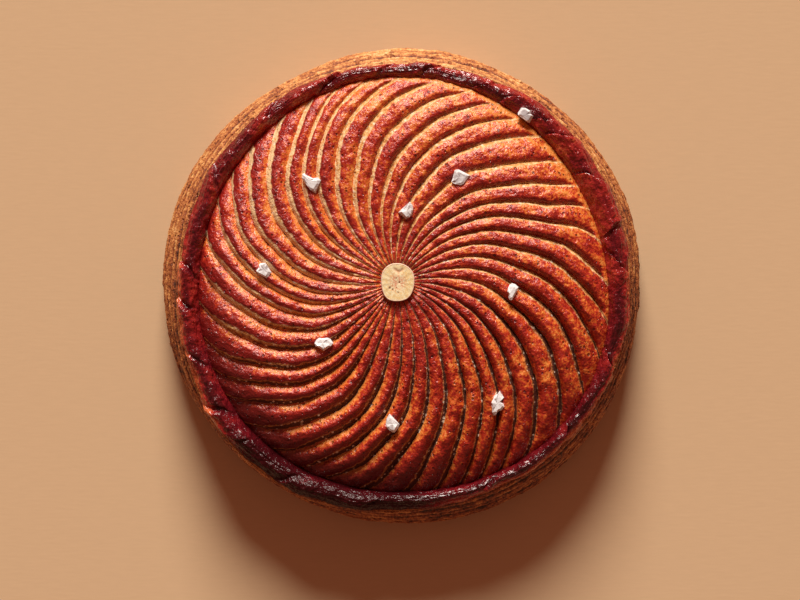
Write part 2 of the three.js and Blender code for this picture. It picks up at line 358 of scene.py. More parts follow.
def ring_object(name: str, rings: np.ndarray, ends: tuple[Vector, Vector] | None) -> bpy.types.Object:
    """Make a closed piece from rings of points.

    Args:
        name: Name of the piece.
        rings: Points by ring, by place in the ring, by coordinate.
        ends: Points that close the first and the last ring, or None where the last ring
            joins the first.

    Returns:
        The object.
    """
    rows, columns, _ = rings.shape
    faces = ring_faces(rows, columns, ends is None).tolist()
    points = rings.reshape(-1, 3)
    if ends is not None:
        first, last = rows * columns, rows * columns + 1
        points = np.vstack([points, np.array(ends)])
        outer = (rows - 1) * columns
        for here in range(columns):
            beside = (here + 1) % columns
            faces.append((first, here, beside))
            faces.append((last, outer + beside, outer + here))
    return mesh_object(name, points, faces)


def store(piece: bpy.types.Object, name: str, values: np.ndarray) -> None:
    """Store a number on each point of a piece, with zeros for its closing points.

    Args:
        piece: The piece.
        name: Name of the attribute.
        values: One number for each point of the rings.
    """
    attribute = piece.data.attributes.new(name, "FLOAT", "POINT")
    padded = np.zeros(len(piece.data.vertices), np.float32)
    flat = np.asarray(values, np.float32).reshape(-1)
    padded[:len(flat)] = flat
    attribute.data.foreach_set("value", padded)


# ---- Node trees -----------------------------------------------------------------------


class Wiring:
    """Adds nodes to a tree and joins them, for shaders and for geometry alike."""

    def __init__(self, tree: bpy.types.NodeTree) -> None:
        """Keep the tree to be wired."""
        self.tree = tree

    def feed(self, socket: Socket, term: Term) -> None:
        """Join a term to a socket: a link for a socket, a value for anything else.

        Args:
            socket: The socket that takes the term.
            term: The term.
        """
        if isinstance(term, bpy.types.NodeSocket):
            self.tree.links.new(term, socket)
        else:
            socket.default_value = term

    def node(self, kind: str, settings: dict | None = None,
             inputs: dict | None = None) -> bpy.types.Node:
        """Add a node.

        Args:
            kind: Blender's name of the node type.
            settings: Properties to set on it.
            inputs: Terms by input name or number.

        Returns:
            The node.
        """
        node = self.tree.nodes.new(kind)
        for name, value in (settings or {}).items():
            setattr(node, name, value)
        for key, term in (inputs or {}).items():
            self.feed(node.inputs[key], term)
        return node

    def math(self, operation: str, *terms: Term) -> Socket:
        """Result of a sum on numbers."""
        return self.node("ShaderNodeMath", {"operation": operation}, dict(enumerate(terms))).outputs[0]

    def vector_math(self, operation: str, *terms: Term) -> Socket:
        """Result of a sum on vectors."""
        node = self.node("ShaderNodeVectorMath", {"operation": operation}, dict(enumerate(terms)))
        return node.outputs[0]

    def scaled(self, vector: Term, scale: Term) -> Socket:
        """A vector times a number."""
        node = self.node("ShaderNodeVectorMath", {"operation": "SCALE"}, {0: vector, "Scale": scale})
        return node.outputs[0]

    def total(self, *terms: Term) -> Socket:
        """Sum of any number of terms."""
        return reduce(partial(self.math, "ADD"), terms)

    def product(self, *terms: Term) -> Socket:
        """Product of any number of terms."""
        return reduce(partial(self.math, "MULTIPLY"), terms)

    def about_zero(self, value: Term, size: Term) -> Socket:
        """A number from 0 to 1 moved to swing about zero, from -size to +size."""
        return self.math("MULTIPLY", self.math("MULTIPLY_ADD", value, 2.0, -1.0), size)

    def grade(self, value: Term, low: Term, high: Term, start: Term = 0.0, end: Term = 1.0) -> Socket:
        """Smooth step of a value from start at low to end at high."""
        node = self.node("ShaderNodeMapRange", {"interpolation_type": "SMOOTHSTEP"},
                         {0: value, 1: low, 2: high, 3: start, 4: end})
        return node.outputs[0]

    def mix(self, share: Term, first: Term, second: Term) -> Socket:
        """Number between two numbers."""
        node = self.node("ShaderNodeMix", {"data_type": "FLOAT"}, {0: share, 2: first, 3: second})
        return node.outputs[0]

    def mix_colour(self, share: Term, first: Term, second: Term) -> Socket:
        """Colour between two colours."""
        node = self.node("ShaderNodeMix", {"data_type": "RGBA"},
                         {0: share, 6: rgba(first), 7: rgba(second)})
        return node.outputs[2]

    def noise(self, vector: Term, scale: Term, detail: float = 2.0, rough: float = 0.5,
              seed: Term = 0.0) -> Socket:
        """Noise over a vector.

        Args:
            vector: Where it is read.
            scale: Its scale.
            detail: Its detail.
            rough: Its roughness.
            seed: Its seed.

        Returns:
            The noise, from about 0 to 1.
        """
        node = self.node("ShaderNodeTexNoise", {"noise_dimensions": "4D"},
                         {"Vector": vector, "Scale": scale, "Detail": detail, "Roughness": rough,
                          "W": seed})
        return node.outputs[0]

    def swing(self, size: Term, vector: Term, scale: Term, detail: float = 2.0, rough: float = 0.5,
              seed: Term = 0.0) -> Socket:
        """Noise over a vector that swings about zero, from -size to +size."""
        return self.about_zero(self.noise(vector, scale, detail, rough, seed), size)

    def along_z(self, value: Term) -> Socket:
        """A vector as long as a value, along Z."""
        return self.node("ShaderNodeCombineXYZ", None, {2: value}).outputs[0]

    def ramp(self, value: Term, stops: tuple[tuple[float, Colour], ...]) -> Socket:
        """Colour of a value along a row of colours.

        Args:
            value: The value, from 0 to 1.
            stops: Place and colour of each stop.

        Returns:
            The colour.
        """
        node = self.node("ShaderNodeValToRGB", None, {0: value})
        elements = node.color_ramp.elements
        while len(elements) < len(stops):
            elements.new(0.5)
        for element, (place, colour) in zip(elements, stops):
            element.position = place
            element.color = rgba(colour)
        return node.outputs[0]

    def attribute(self, name: str) -> Socket:
        """Number stored on the piece's points, read by a material."""
        node = self.node("ShaderNodeAttribute", {"attribute_name": name, "attribute_type": "GEOMETRY"})
        return node.outputs["Fac"]

    def named(self, name: str) -> Socket:
        """Number stored on the piece's points, read by geometry nodes."""
        node = self.node("GeometryNodeInputNamedAttribute", {"data_type": "FLOAT"}, {"Name": name})
        return node.outputs[0]


def rgba(colour: Term) -> Term:
    """A colour with full alpha, or the socket itself."""
    return colour if isinstance(colour, bpy.types.NodeSocket) else (*colour[:3], 1.0)


SOCKET_KINDS = {"value": "NodeSocketFloat", "vector": "NodeSocketVector", "geometry": "NodeSocketGeometry"}


def new_tree(name: str, kind: str, takes: dict[str, tuple],
             gives: dict[str, str]) -> tuple[Wiring, dict[str, Socket], bpy.types.Node]:
    """Start a node tree with named inputs and outputs.

    Args:
        name: Name of the tree.
        kind: ShaderNodeTree or GeometryNodeTree.
        takes: Kind and default of each input.
        gives: Kind of each output.

    Returns:
        The wiring, the input sockets by name, and the output node.
    """
    tree = bpy.data.node_groups.new(name, kind)
    sockets = tree.interface
    for title, (socket_kind, default) in takes.items():
        item = sockets.new_socket(name=title, in_out="INPUT", socket_type=SOCKET_KINDS[socket_kind])
        if default is not None:
            item.default_value = default
    for title, socket_kind in gives.items():
        sockets.new_socket(name=title, in_out="OUTPUT", socket_type=SOCKET_KINDS[socket_kind])
    wiring = Wiring(tree)
    source = wiring.node("NodeGroupInput")
    sink = wiring.node("NodeGroupOutput")
    return wiring, {title: source.outputs[title] for title in takes}, sink


class ReliefTree:
    """A geometry tree that moves the points of a piece and keeps numbers on them."""

    def __init__(self, name: str, sizes: tuple[str, ...]) -> None:
        """Start the tree.

        Args:
            name: Name of the tree.
            sizes: Names of its sizes. It takes a seed as well.
        """
        takes = {"Geometry": ("geometry", None), **{size: ("value", 0.0) for size in (*sizes, "Seed")}}
        gives = {"Geometry": "geometry"}
        self.wiring, self.given, self.sink = new_tree(name, "GeometryNodeTree", takes, gives)
        self.here = self.wiring.node("GeometryNodeInputPosition").outputs[0]
        self.normal = self.wiring.node("GeometryNodeInputNormal").outputs[0]

    def swing(self, size: Term, scale: float, detail: float = 2.0, rough: float = 0.5,
              vector: Socket | None = None) -> Socket:
        """Noise about zero, of the tree's own seed.

        Args:
            size: Most that it swings to each side.
            scale: Its scale.
            detail: Its detail.
            rough: Its roughness.
            vector: Where it is read, or None for the points' own places.

        Returns:
            The noise.
        """
        where = self.here if vector is None else vector
        return self.wiring.swing(size, where, scale, detail, rough, self.given["Seed"])

    def finish(self, offset: Socket, kept: dict[str, Socket],
               material: bpy.types.Material) -> bpy.types.NodeTree:
        """End the tree: move the points, keep numbers on them, realize, and set the material.

        Args:
            offset: How far each point moves.
            kept: Numbers to store on the moved points, by name.
            material: The piece's finish.

        Returns:
            The tree.
        """
        node = self.wiring.node
        geometry = node("GeometryNodeSetPosition", None,
                        {"Geometry": self.given["Geometry"], "Offset": offset}).outputs[0]
        for name, value in kept.items():
            geometry = node("GeometryNodeStoreNamedAttribute", {"data_type": "FLOAT", "domain": "POINT"},
                            {"Geometry": geometry, "Name": name, "Value": value}).outputs[0]
        real = node("GeometryNodeRealizeInstances", None, {"Geometry": geometry}).outputs[0]
        dressed = node("GeometryNodeSetMaterial", None, {"Geometry": real, "Material": material})
        self.wiring.feed(self.sink.inputs["Geometry"], dressed.outputs[0])
        return self.wiring.tree


def run_tree(piece: bpy.types.Object, tree: bpy.types.NodeTree, values: dict[str, float]) -> None:
    """Run a geometry tree on a piece and keep the result as its plain mesh.

    Args:
        piece: The piece.
        tree: The geometry tree.
        values: Values of the tree's inputs by name.
    """
    modifier = piece.modifiers.new(tree.name, "NODES")
    modifier.node_group = tree
    for item in tree.interface.items_tree:
        if item.in_out == "INPUT" and item.name in values:
            modifier[item.identifier] = values[item.name]
    depsgraph = bpy.context.evaluated_depsgraph_get()
    made = bpy.data.meshes.new_from_object(
        piece.evaluated_get(depsgraph), preserve_all_data_layers=True, depsgraph=depsgraph)
    piece.modifiers.remove(modifier)
    plain, piece.data = piece.data, made
    bpy.data.meshes.remove(plain)
    made.name = piece.name


# ---- Shared surface effects -----------------------------------------------------------


class SurfaceGroups:
    """Shader node groups that more than one material uses."""

    def __init__(self) -> None:
        """Build each group once."""
        self.mottle = self.build_mottle()
        self.specks = self.build_specks()
        self.grit = self.build_grit()

    def build_mottle(self) -> bpy.types.NodeTree:
        """Uneven bake at three sizes: broad patches, mottling and fine grain.

        Returns:
            The group. Its output is about 0.5 on average.
        """
        takes = {"Vector": ("vector", None),
                 "Patch Scale": ("value", 90.0), "Patch Share": ("value", 0.5),
                 "Mottle Scale": ("value", 400.0), "Mottle Share": ("value", 0.5),
                 "Grain Scale": ("value", 1300.0), "Grain Share": ("value", 0.5), "Seed": ("value", 0.0)}
        wiring, given, sink = new_tree("bake_mottle", "ShaderNodeTree", takes, {"Bake": "value"})
        parts = []
        for size, detail in (("Patch", 3.0), ("Mottle", 3.0), ("Grain", 2.0)):
            parts.append(wiring.swing(given[f"{size} Share"], given["Vector"], given[f"{size} Scale"],
                                      detail, 0.55, given["Seed"]))
        wiring.feed(sink.inputs["Bake"], wiring.total(0.5, *parts))
        return wiring.tree

    def build_specks(self) -> bpy.types.NodeTree:
        """Round specks scattered over a surface, such as pin holes and scorched dots.

        Returns:
            The group. Its mask is 1 inside a speck.
        """
        takes = {"Vector": ("vector", None), "Scale": ("value", 700.0),
                 "Size": ("value", 0.25), "Share": ("value", 0.4)}
        wiring, given, sink = new_tree("specks", "ShaderNodeTree", takes, {"Mask": "value"})
        cells = wiring.node("ShaderNodeTexVoronoi", None,
                            {"Vector": given["Vector"], "Scale": given["Scale"]})
        pick = wiring.node("ShaderNodeSeparateColor", None, {0: cells.outputs["Color"]})
        size = wiring.product(given["Size"], wiring.math("MULTIPLY_ADD", pick.outputs[1], 0.8, 0.5))
        dot = wiring.grade(cells.outputs["Distance"], size, wiring.product(size, 0.5))
        chosen = wiring.math("LESS_THAN", pick.outputs[0], given["Share"])
        wiring.feed(sink.inputs["Mask"], wiring.product(dot, chosen))
        return wiring.tree

    def build_grit(self) -> bpy.types.NodeTree:
        """Fine relief of a baked surface, as a height for a bump.

        Returns:
            The group. Its height is about 0.5 on average.
        """
        takes = {"Vector": ("vector", None), "Coarse Scale": ("value", 700.0),
                 "Fine Scale": ("value", 2200.0), "Fine Share": ("value", 0.4)}
        wiring, given, sink = new_tree("grit", "ShaderNodeTree", takes, {"Height": "value"})
        coarse = wiring.noise(given["Vector"], given["Coarse Scale"], 3.0, 0.6)
        fine = wiring.noise(given["Vector"], given["Fine Scale"], 2.0, 0.6)
        wiring.feed(sink.inputs["Height"], wiring.mix(given["Fine Share"], coarse, fine))
        return wiring.tree


class Surface:
    """A material being wired: object coordinates, groups and a Principled shader."""

    def __init__(self, name: str) -> None:
        """Start a material with one Principled shader.

        Args:
            name: Name of the material.
        """
        self.material = bpy.data.materials.new(name)
        self.material.use_nodes = True
        self.wiring = Wiring(self.material.node_tree)
        self.shader = next(n for n in self.material.node_tree.nodes if n.type == "BSDF_PRINCIPLED")
        self.here = self.wiring.node("ShaderNodeTexCoord").outputs["Object"]

    def group(self, tree: bpy.types.NodeTree, inputs: dict[str, Term]) -> Socket:
        """Place a shared group on object coordinates.

        Args:
            tree: The group.
            inputs: Terms by input name.

        Returns:
            Its first output.
        """
        terms = {"Vector": self.here, **inputs}
        return self.wiring.node("ShaderNodeGroup", {"node_tree": tree}, terms).outputs[0]

    def set(self, **inputs: Term) -> None:
        """Set inputs of the shader, with _ for a space in a name."""
        for name, term in inputs.items():
            self.wiring.feed(self.shader.inputs[name.replace("_", " ")], term)

    def bump(self, height: Term, distance: float, strength: float = 1.0) -> None:
        """Bump the surface by a height from 0 to 1 over a distance in metres."""
        node = self.wiring.node("ShaderNodeBump", None,
                                {"Strength": strength, "Distance": distance, "Height": height})
        self.wiring.feed(self.shader.inputs["Normal"], node.outputs[0])


# ---- Finishes -------------------------------------------------------------------------


class Finish:
    """A finish of the cake: its class wires one material from its own values."""

    name: str

    def wire(self, surface: Surface, w: Wiring, groups: SurfaceGroups) -> None:
        """Wire the material. Each finish does it in its own way."""
        raise NotImplementedError

    def build(self, groups: SurfaceGroups) -> bpy.types.Material:
        """Make and wire the material.

        Args:
            groups: The shared surface effects.

        Returns:
            The material.
        """
        surface = Surface(self.name)
        self.wire(surface, surface.wiring, groups)
        return surface.material


@dataclass(frozen=True)
class GlazedCrust(Finish):
    """Egg-glazed puff pastry, burgundy to orange, with bare dough where it was scored, and light and shade
    painted over both.
    """

    name: str = "glazed_crust"
    gold: Colour = (0.85, 0.30, 0.065)
    orange: Colour = (0.76, 0.15, 0.024)
    red: Colour = (0.50, 0.030, 0.014)
    burgundy: Colour = (0.25, 0.009, 0.007)
    # Dark of the pin holes, also painted as shadow on the dome's lower slope.
    scorch_and_painted_shade: Colour = (0.05, 0.004, 0.004)
    bare_pale: Colour = (0.92, 0.64, 0.34)
    bare_gold: Colour = (0.78, 0.38, 0.10)
    # The bare wall darkens to these towards the bottom of its groove: painted shade, with some dark grit.
    bare_brown_and_painted_shade: Colour = (0.38, 0.11, 0.022)
    bare_dark_painted_shade: Colour = (0.085, 0.017, 0.005)
    # Pale grains on the bare walls, painted bright as glints.
    grain_painted_glint: Colour = (0.98, 0.86, 0.68)
    # Painted light and shade: slopes that face the light are painted golden, slopes that face away crimson.
    facing_painted_light: float = -0.55
    margin_bake: float = -0.15
    # Painted shadow on the dome's lower slope, at the lower left.
    painted_shadow_tone: float = 0.25
    even_bake: float = 0.10
    crumb: float = 0.9
    bare_roughness: float = 0.75
    gloss: float = 0.64
    grit_height: float = 0.95 * MM

    def wire(self, surface: Surface, w: Wiring, groups: SurfaceGroups) -> None:
        """Wire the material, which reads the attributes facing, tilt, cut, bake, dusk, margin and pooled.
        Of these, facing, tilt, dusk and pooled carry painted light and shade.

        Args:
            surface: The material.
            w: Its wiring.
            groups: The shared surface effects.
        """
        cut, painted_shadow = w.attribute("cut"), w.attribute("painted_shadow")
        bake = surface.group(groups.mottle, {
            "Patch Scale": 75.0, "Patch Share": 0.55, "Mottle Scale": 330.0, "Mottle Share": 0.65,
            "Grain Scale": 950.0, "Grain Share": 0.75})
        # Painted light and shade in the bake: golden on slopes facing the light, crimson on slopes facing
        # away, golden to dark across each ridge, dark on the lower slope at the lower left.
        bake = w.total(bake, w.attribute("bake"), w.product(w.attribute("light_facing"), self.facing_painted_light),
                       w.product(w.attribute("margin"), self.margin_bake), w.attribute("tilt"),
                       w.product(painted_shadow, self.painted_shadow_tone), self.even_bake)
        glaze = w.ramp(bake, ((0.04, self.gold), (0.28, self.orange), (0.54, self.red),
                              (0.96, self.burgundy)))
        pins = surface.group(groups.specks, {"Scale": 560.0, "Size": 0.33, "Share": 0.46})
        # Pin holes go dark, and the same dark is painted as shadow on the dome's lower slope at the lower
        # left.
        glaze = w.mix_colour(w.product(pins, 0.75), glaze, self.scorch_and_painted_shade)
        glaze = w.mix_colour(w.product(painted_shadow, 0.6), glaze, self.scorch_and_painted_shade)
        crumb = w.swing(self.crumb, surface.here, 700.0, 3.0, 0.65, 4.0)
        # Painted shade in the grooves: the bare wall darkens towards the bottom of its groove, more towards
        # the bottom of the cake and near the hub, less on the left.
        shade = w.product(cut, w.math("MULTIPLY_ADD", w.attribute("painted_shade"), 2.0, 0.40))
        bare = w.ramp(w.math("ADD", shade, crumb), ((0.0, self.bare_pale), (0.22, self.bare_gold),
                                                    (0.58, self.bare_brown_and_painted_shade), (0.92, self.bare_dark_painted_shade)))
        # Pale grains on the bare walls, painted bright as glints.
        grains_and_glints = surface.group(groups.specks, {"Scale": 700.0, "Size": 0.46, "Share": 0.32})
        bare = w.mix_colour(w.product(grains_and_glints, w.grade(cut, 1.0, 0.7), 0.8), bare, self.grain_painted_glint)
        edge = w.grade(cut, 0.0, 0.25)
        sheen = w.noise(surface.here, 520.0, seed=8.0)
        surface.set(Base_Color=w.mix_colour(edge, glaze, bare), Specular_IOR_Level=self.gloss,
                    Roughness=w.mix(edge, w.math("MULTIPLY_ADD", sheen, 0.29, 0.19), self.bare_roughness))
        grit = surface.group(groups.grit, {"Coarse Scale": 480.0, "Fine Scale": 1050.0, "Fine Share": 0.45})
        surface.bump(w.math("SUBTRACT", grit, w.product(pins, 0.25)), self.grit_height)


@dataclass(frozen=True)
class CaramelRim(Finish):
    """The sealed rim: the glaze gathered and baked to a dark, glossy caramel, with a painted shadow where
    the dome shades it and painted highlights on its laps.
    """

    name: str = "caramel_rim"
    dark: Colour = (0.045, 0.003, 0.005)
    wine: Colour = (0.150, 0.006, 0.011)
    red: Colour = (0.40, 0.023, 0.019)
    amber: Colour = (0.60, 0.13, 0.040)
    outer_bake: float = 0.36
    # Painted shadow where the dome shades the rim: less red on the outer part.
    painted_shadow_outer_tone: float = -0.25
    inner_bake: float = 0.16
    crest_bake: float = -0.10
    # Raised laps are lighter: partly their own tone, partly a painted highlight on their edges.
    lap_tone_and_highlight: float = 0.24
    rosy_bake: float = 0.45
    # Painted shadow where the dome shades the rim: the whole rim darker.
    painted_shadow_tone: float = -0.36
    even_bake: float = -0.03
    gloss: float = 0.28
    coat: float = 0.6
    grit_height: float = 1.1 * MM

    def wire(self, surface: Surface, w: Wiring, groups: SurfaceGroups) -> None:
        """Wire the material, which reads the attributes across, lifted, rosy and pooled. The lifted mark
        carries a painted highlight on the laps, and the pooled mark a painted shadow.

        Args:
            surface: The material.
            w: Its wiring.
            groups: The shared surface effects.
        """
        across, painted_shadow = w.attribute("across"), w.attribute("painted_shadow")
        bake = surface.group(groups.mottle, {"Patch Scale": 110.0, "Patch Share": 0.2, "Mottle Share": 0.22,
                                             "Grain Share": 0.3, "Seed": 3.0})
        # Painted shadow where the dome shades the rim, at the lower left: the outer part is less red there
        # and the whole rim darker.
        outer = w.math("MULTIPLY_ADD", painted_shadow, self.painted_shadow_outer_tone, self.outer_bake)
        outer = w.product(w.grade(across, 0.40, 0.95), outer)
        inner = w.product(w.grade(across, 0.50, 0.10), self.inner_bake)
        crest = w.product(w.grade(across, 0.25, 0.50), w.grade(across, 0.80, 0.55), self.crest_bake)
        # Raised laps are lighter: partly their own tone, partly a painted highlight on their edges.
        lifted = w.product(w.attribute("lifted"), self.lap_tone_and_highlight)
        # The outer part is rosy where the inner part is dark, and the other way round.
        rosy = w.product(w.attribute("rosy"), w.grade(across, 0.50, 0.85, 1.0, -2.1), self.rosy_bake)
        bake = w.total(bake, outer, inner, lifted, rosy, crest, w.product(painted_shadow, self.painted_shadow_tone),
                       self.even_bake)
        sheen = w.noise(surface.here, 600.0, seed=6.0)
        surface.set(Base_Color=w.ramp(bake, ((0.30, self.dark), (0.55, self.wine),
                                             (0.85, self.red), (1.0, self.amber))),
                    Roughness=w.math("MULTIPLY_ADD", sheen, 0.22, 0.12), Specular_IOR_Level=self.gloss,
                    Coat_Weight=w.math("MULTIPLY_ADD", painted_shadow, -self.coat, self.coat), Coat_Roughness=0.12)
        grit = surface.group(groups.grit, {"Coarse Scale": 420.0, "Fine Scale": 1000.0, "Fine Share": 0.35})
        surface.bump(grit, self.grit_height)


@dataclass(frozen=True)
class FlakyDough(Finish):
    """The risen side: thin dry leaves, golden where they stand out and brown between, the brown partly
    painted shade; painted lighter towards the light and darker away from it.
    """

    name: str = "flaky_dough"
    cream: Colour = (0.90, 0.60, 0.30)
    gold: Colour = (0.78, 0.38, 0.12)
    tan: Colour = (0.57, 0.20, 0.052)
    brown: Colour = (0.30, 0.066, 0.016)
    dark: Colour = (0.05, 0.012, 0.004)
    lamination: tuple[float, float, float] = (130.0, 130.0, 600.0)
    # Lips lighter, gaps between the leaves darker: partly the dough's own tone, partly painted shade.
    lip_tone_and_gap_shade: float = -0.62
    line_bake: float = 0.36
    even_bake: float = 0.61
    grit_height: float = 1.0 * MM

    def wire(self, surface: Surface, w: Wiring, groups: SurfaceGroups) -> None:
        """Wire the material, which reads the attributes lip and dusk; both drive painted shade.

        Args:
            surface: The material.
            w: Its wiring.
            groups: The shared surface effects.
        """
        bake = surface.group(groups.mottle, {"Patch Scale": 60.0, "Patch Share": 0.4, "Seed": 7.0})
        lines = w.noise(w.vector_math("MULTIPLY", surface.here, self.lamination), 1.0, 3.0, 0.6)
        # Painted shade: the gaps between the leaves are darker than their lips, and the side is painted
        # lighter at the top, towards the light, and darker at the lower right, away from it.
        tone = w.total(bake, w.product(w.attribute("lip"), self.lip_tone_and_gap_shade),
                       w.about_zero(lines, self.line_bake), w.attribute("painted_shade"), self.even_bake)
        dough = w.ramp(tone, ((0.06, self.cream), (0.26, self.gold), (0.46, self.tan), (0.70, self.brown),
                              (0.95, self.dark)))
        pores = surface.group(groups.specks, {"Scale": 420.0, "Size": 0.38, "Share": 0.5})
        surface.set(Base_Color=w.mix_colour(w.product(pores, 0.75), dough, self.brown), Roughness=0.6)
        grit = surface.group(groups.grit, {"Coarse Scale": 600.0, "Fine Scale": 1800.0})
        height = w.total(grit, w.product(lines, 0.7), w.product(pores, -0.6))
        surface.bump(height, self.grit_height)


@dataclass(frozen=True)
class CutHazelnut(Finish):
    """The cut face of a hazelnut: cream, with a soft brown heart and a pale skin."""

    name: str = "cut_hazelnut"
    cream: Colour = (0.96, 0.70, 0.31)
    ivory: Colour = (1.0, 0.89, 0.56)
    heart: Colour = (0.84, 0.38, 0.24)
    fleck: Colour = (0.24, 0.07, 0.02)
    skin: Colour = (0.95, 0.68, 0.55)

    def wire(self, surface: Surface, w: Wiring, groups: SurfaceGroups) -> None:
        """Wire the material, which reads the attributes spread, crease and stain.

        Args:
            surface: The material.
            w: Its wiring.
            groups: The shared surface effects.
        """
        spread = w.attribute("spread")
        bake = surface.group(groups.mottle, {
            "Patch Scale": 160.0, "Mottle Scale": 700.0, "Mottle Share": 0.7,
            "Grain Scale": 1400.0, "Grain Share": 0.8, "Seed": 2.0})
        flesh = w.mix_colour(w.grade(bake, 0.3, 0.8), self.ivory, self.cream)
        heart = w.product(w.grade(spread, 0.70, 0.15), w.grade(bake, 0.20, 0.70))
        flesh = w.mix_colour(w.product(heart, 0.9), flesh, self.heart)
        flesh = w.mix_colour(w.product(w.attribute("crease"), 0.45), flesh, self.heart)
        flesh = w.mix_colour(w.product(w.attribute("stain"), w.grade(bake, 0.0, 0.6)), flesh, self.fleck)
        flecks = surface.group(groups.specks, {"Scale": 800.0, "Size": 0.42, "Share": 0.4})
        flesh = w.mix_colour(w.product(flecks, w.grade(spread, 0.60, 0.15), 0.8), flesh, self.fleck)
        flesh = w.mix_colour(w.product(w.grade(spread, 0.9, 0.97), 0.7), flesh, self.skin)
        surface.set(Base_Color=flesh, Roughness=0.5)
        grit = surface.group(groups.grit, {"Coarse Scale": 900.0, "Fine Scale": 2600.0})
        surface.bump(grit, 0.25 * MM, 0.8)


@dataclass(frozen=True)
class CoarseSalt(Finish):
    """Coarse salt: white, a little clouded, with a clean break."""

    name: str = "coarse_salt"
    white: Colour = (0.97, 0.98, 1.0)
    clouded: Colour = (0.52, 0.48, 0.50)

    def wire(self, surface: Surface, w: Wiring, groups: SurfaceGroups) -> None:
        """Wire the material, which reads the attribute clear.

        Args:
            surface: The material.
            w: Its wiring.
            groups: The shared surface effects.
        """
        bake = surface.group(groups.mottle, {
            "Patch Scale": 240.0, "Mottle Scale": 700.0, "Mottle Share": 0.7, "Seed": 5.0})
        cloud = w.grade(w.math("ADD", bake, w.attribute("clear")), 0.55, 1.35)
        surface.set(Base_Color=w.mix_colour(cloud, self.white, self.clouded),
                    Roughness=0.2, IOR=1.54, Transmission_Weight=0.04)
        grit = surface.group(groups.grit, {"Coarse Scale": 700.0, "Fine Scale": 2000.0})
        surface.bump(grit, 0.5 * MM, 0.6)


@dataclass(frozen=True)
class PaperFloor:
    """Pale warm paper under the cake."""

    colour: Colour = (0.72, 0.51, 0.31)

    def build(self) -> bpy.types.Material:
        """Wire the material.

        Returns:
            The material.
        """
        surface = Surface("pale_paper")
        w = surface.wiring
        fibres = w.vector_math("MULTIPLY", surface.here, (120.0, 900.0, 900.0))
        weave = w.noise(fibres, 1.0, 3.0, 0.6)
        colour = w.scaled(self.colour, w.math("MULTIPLY_ADD", weave, 0.10, 0.95))
        surface.set(Base_Color=colour, Roughness=0.9, Specular_IOR_Level=0.1)
        surface.bump(weave, 0.05 * MM, 0.5)
        return surface.material


# ---- The crust ------------------------------------------------------------------------


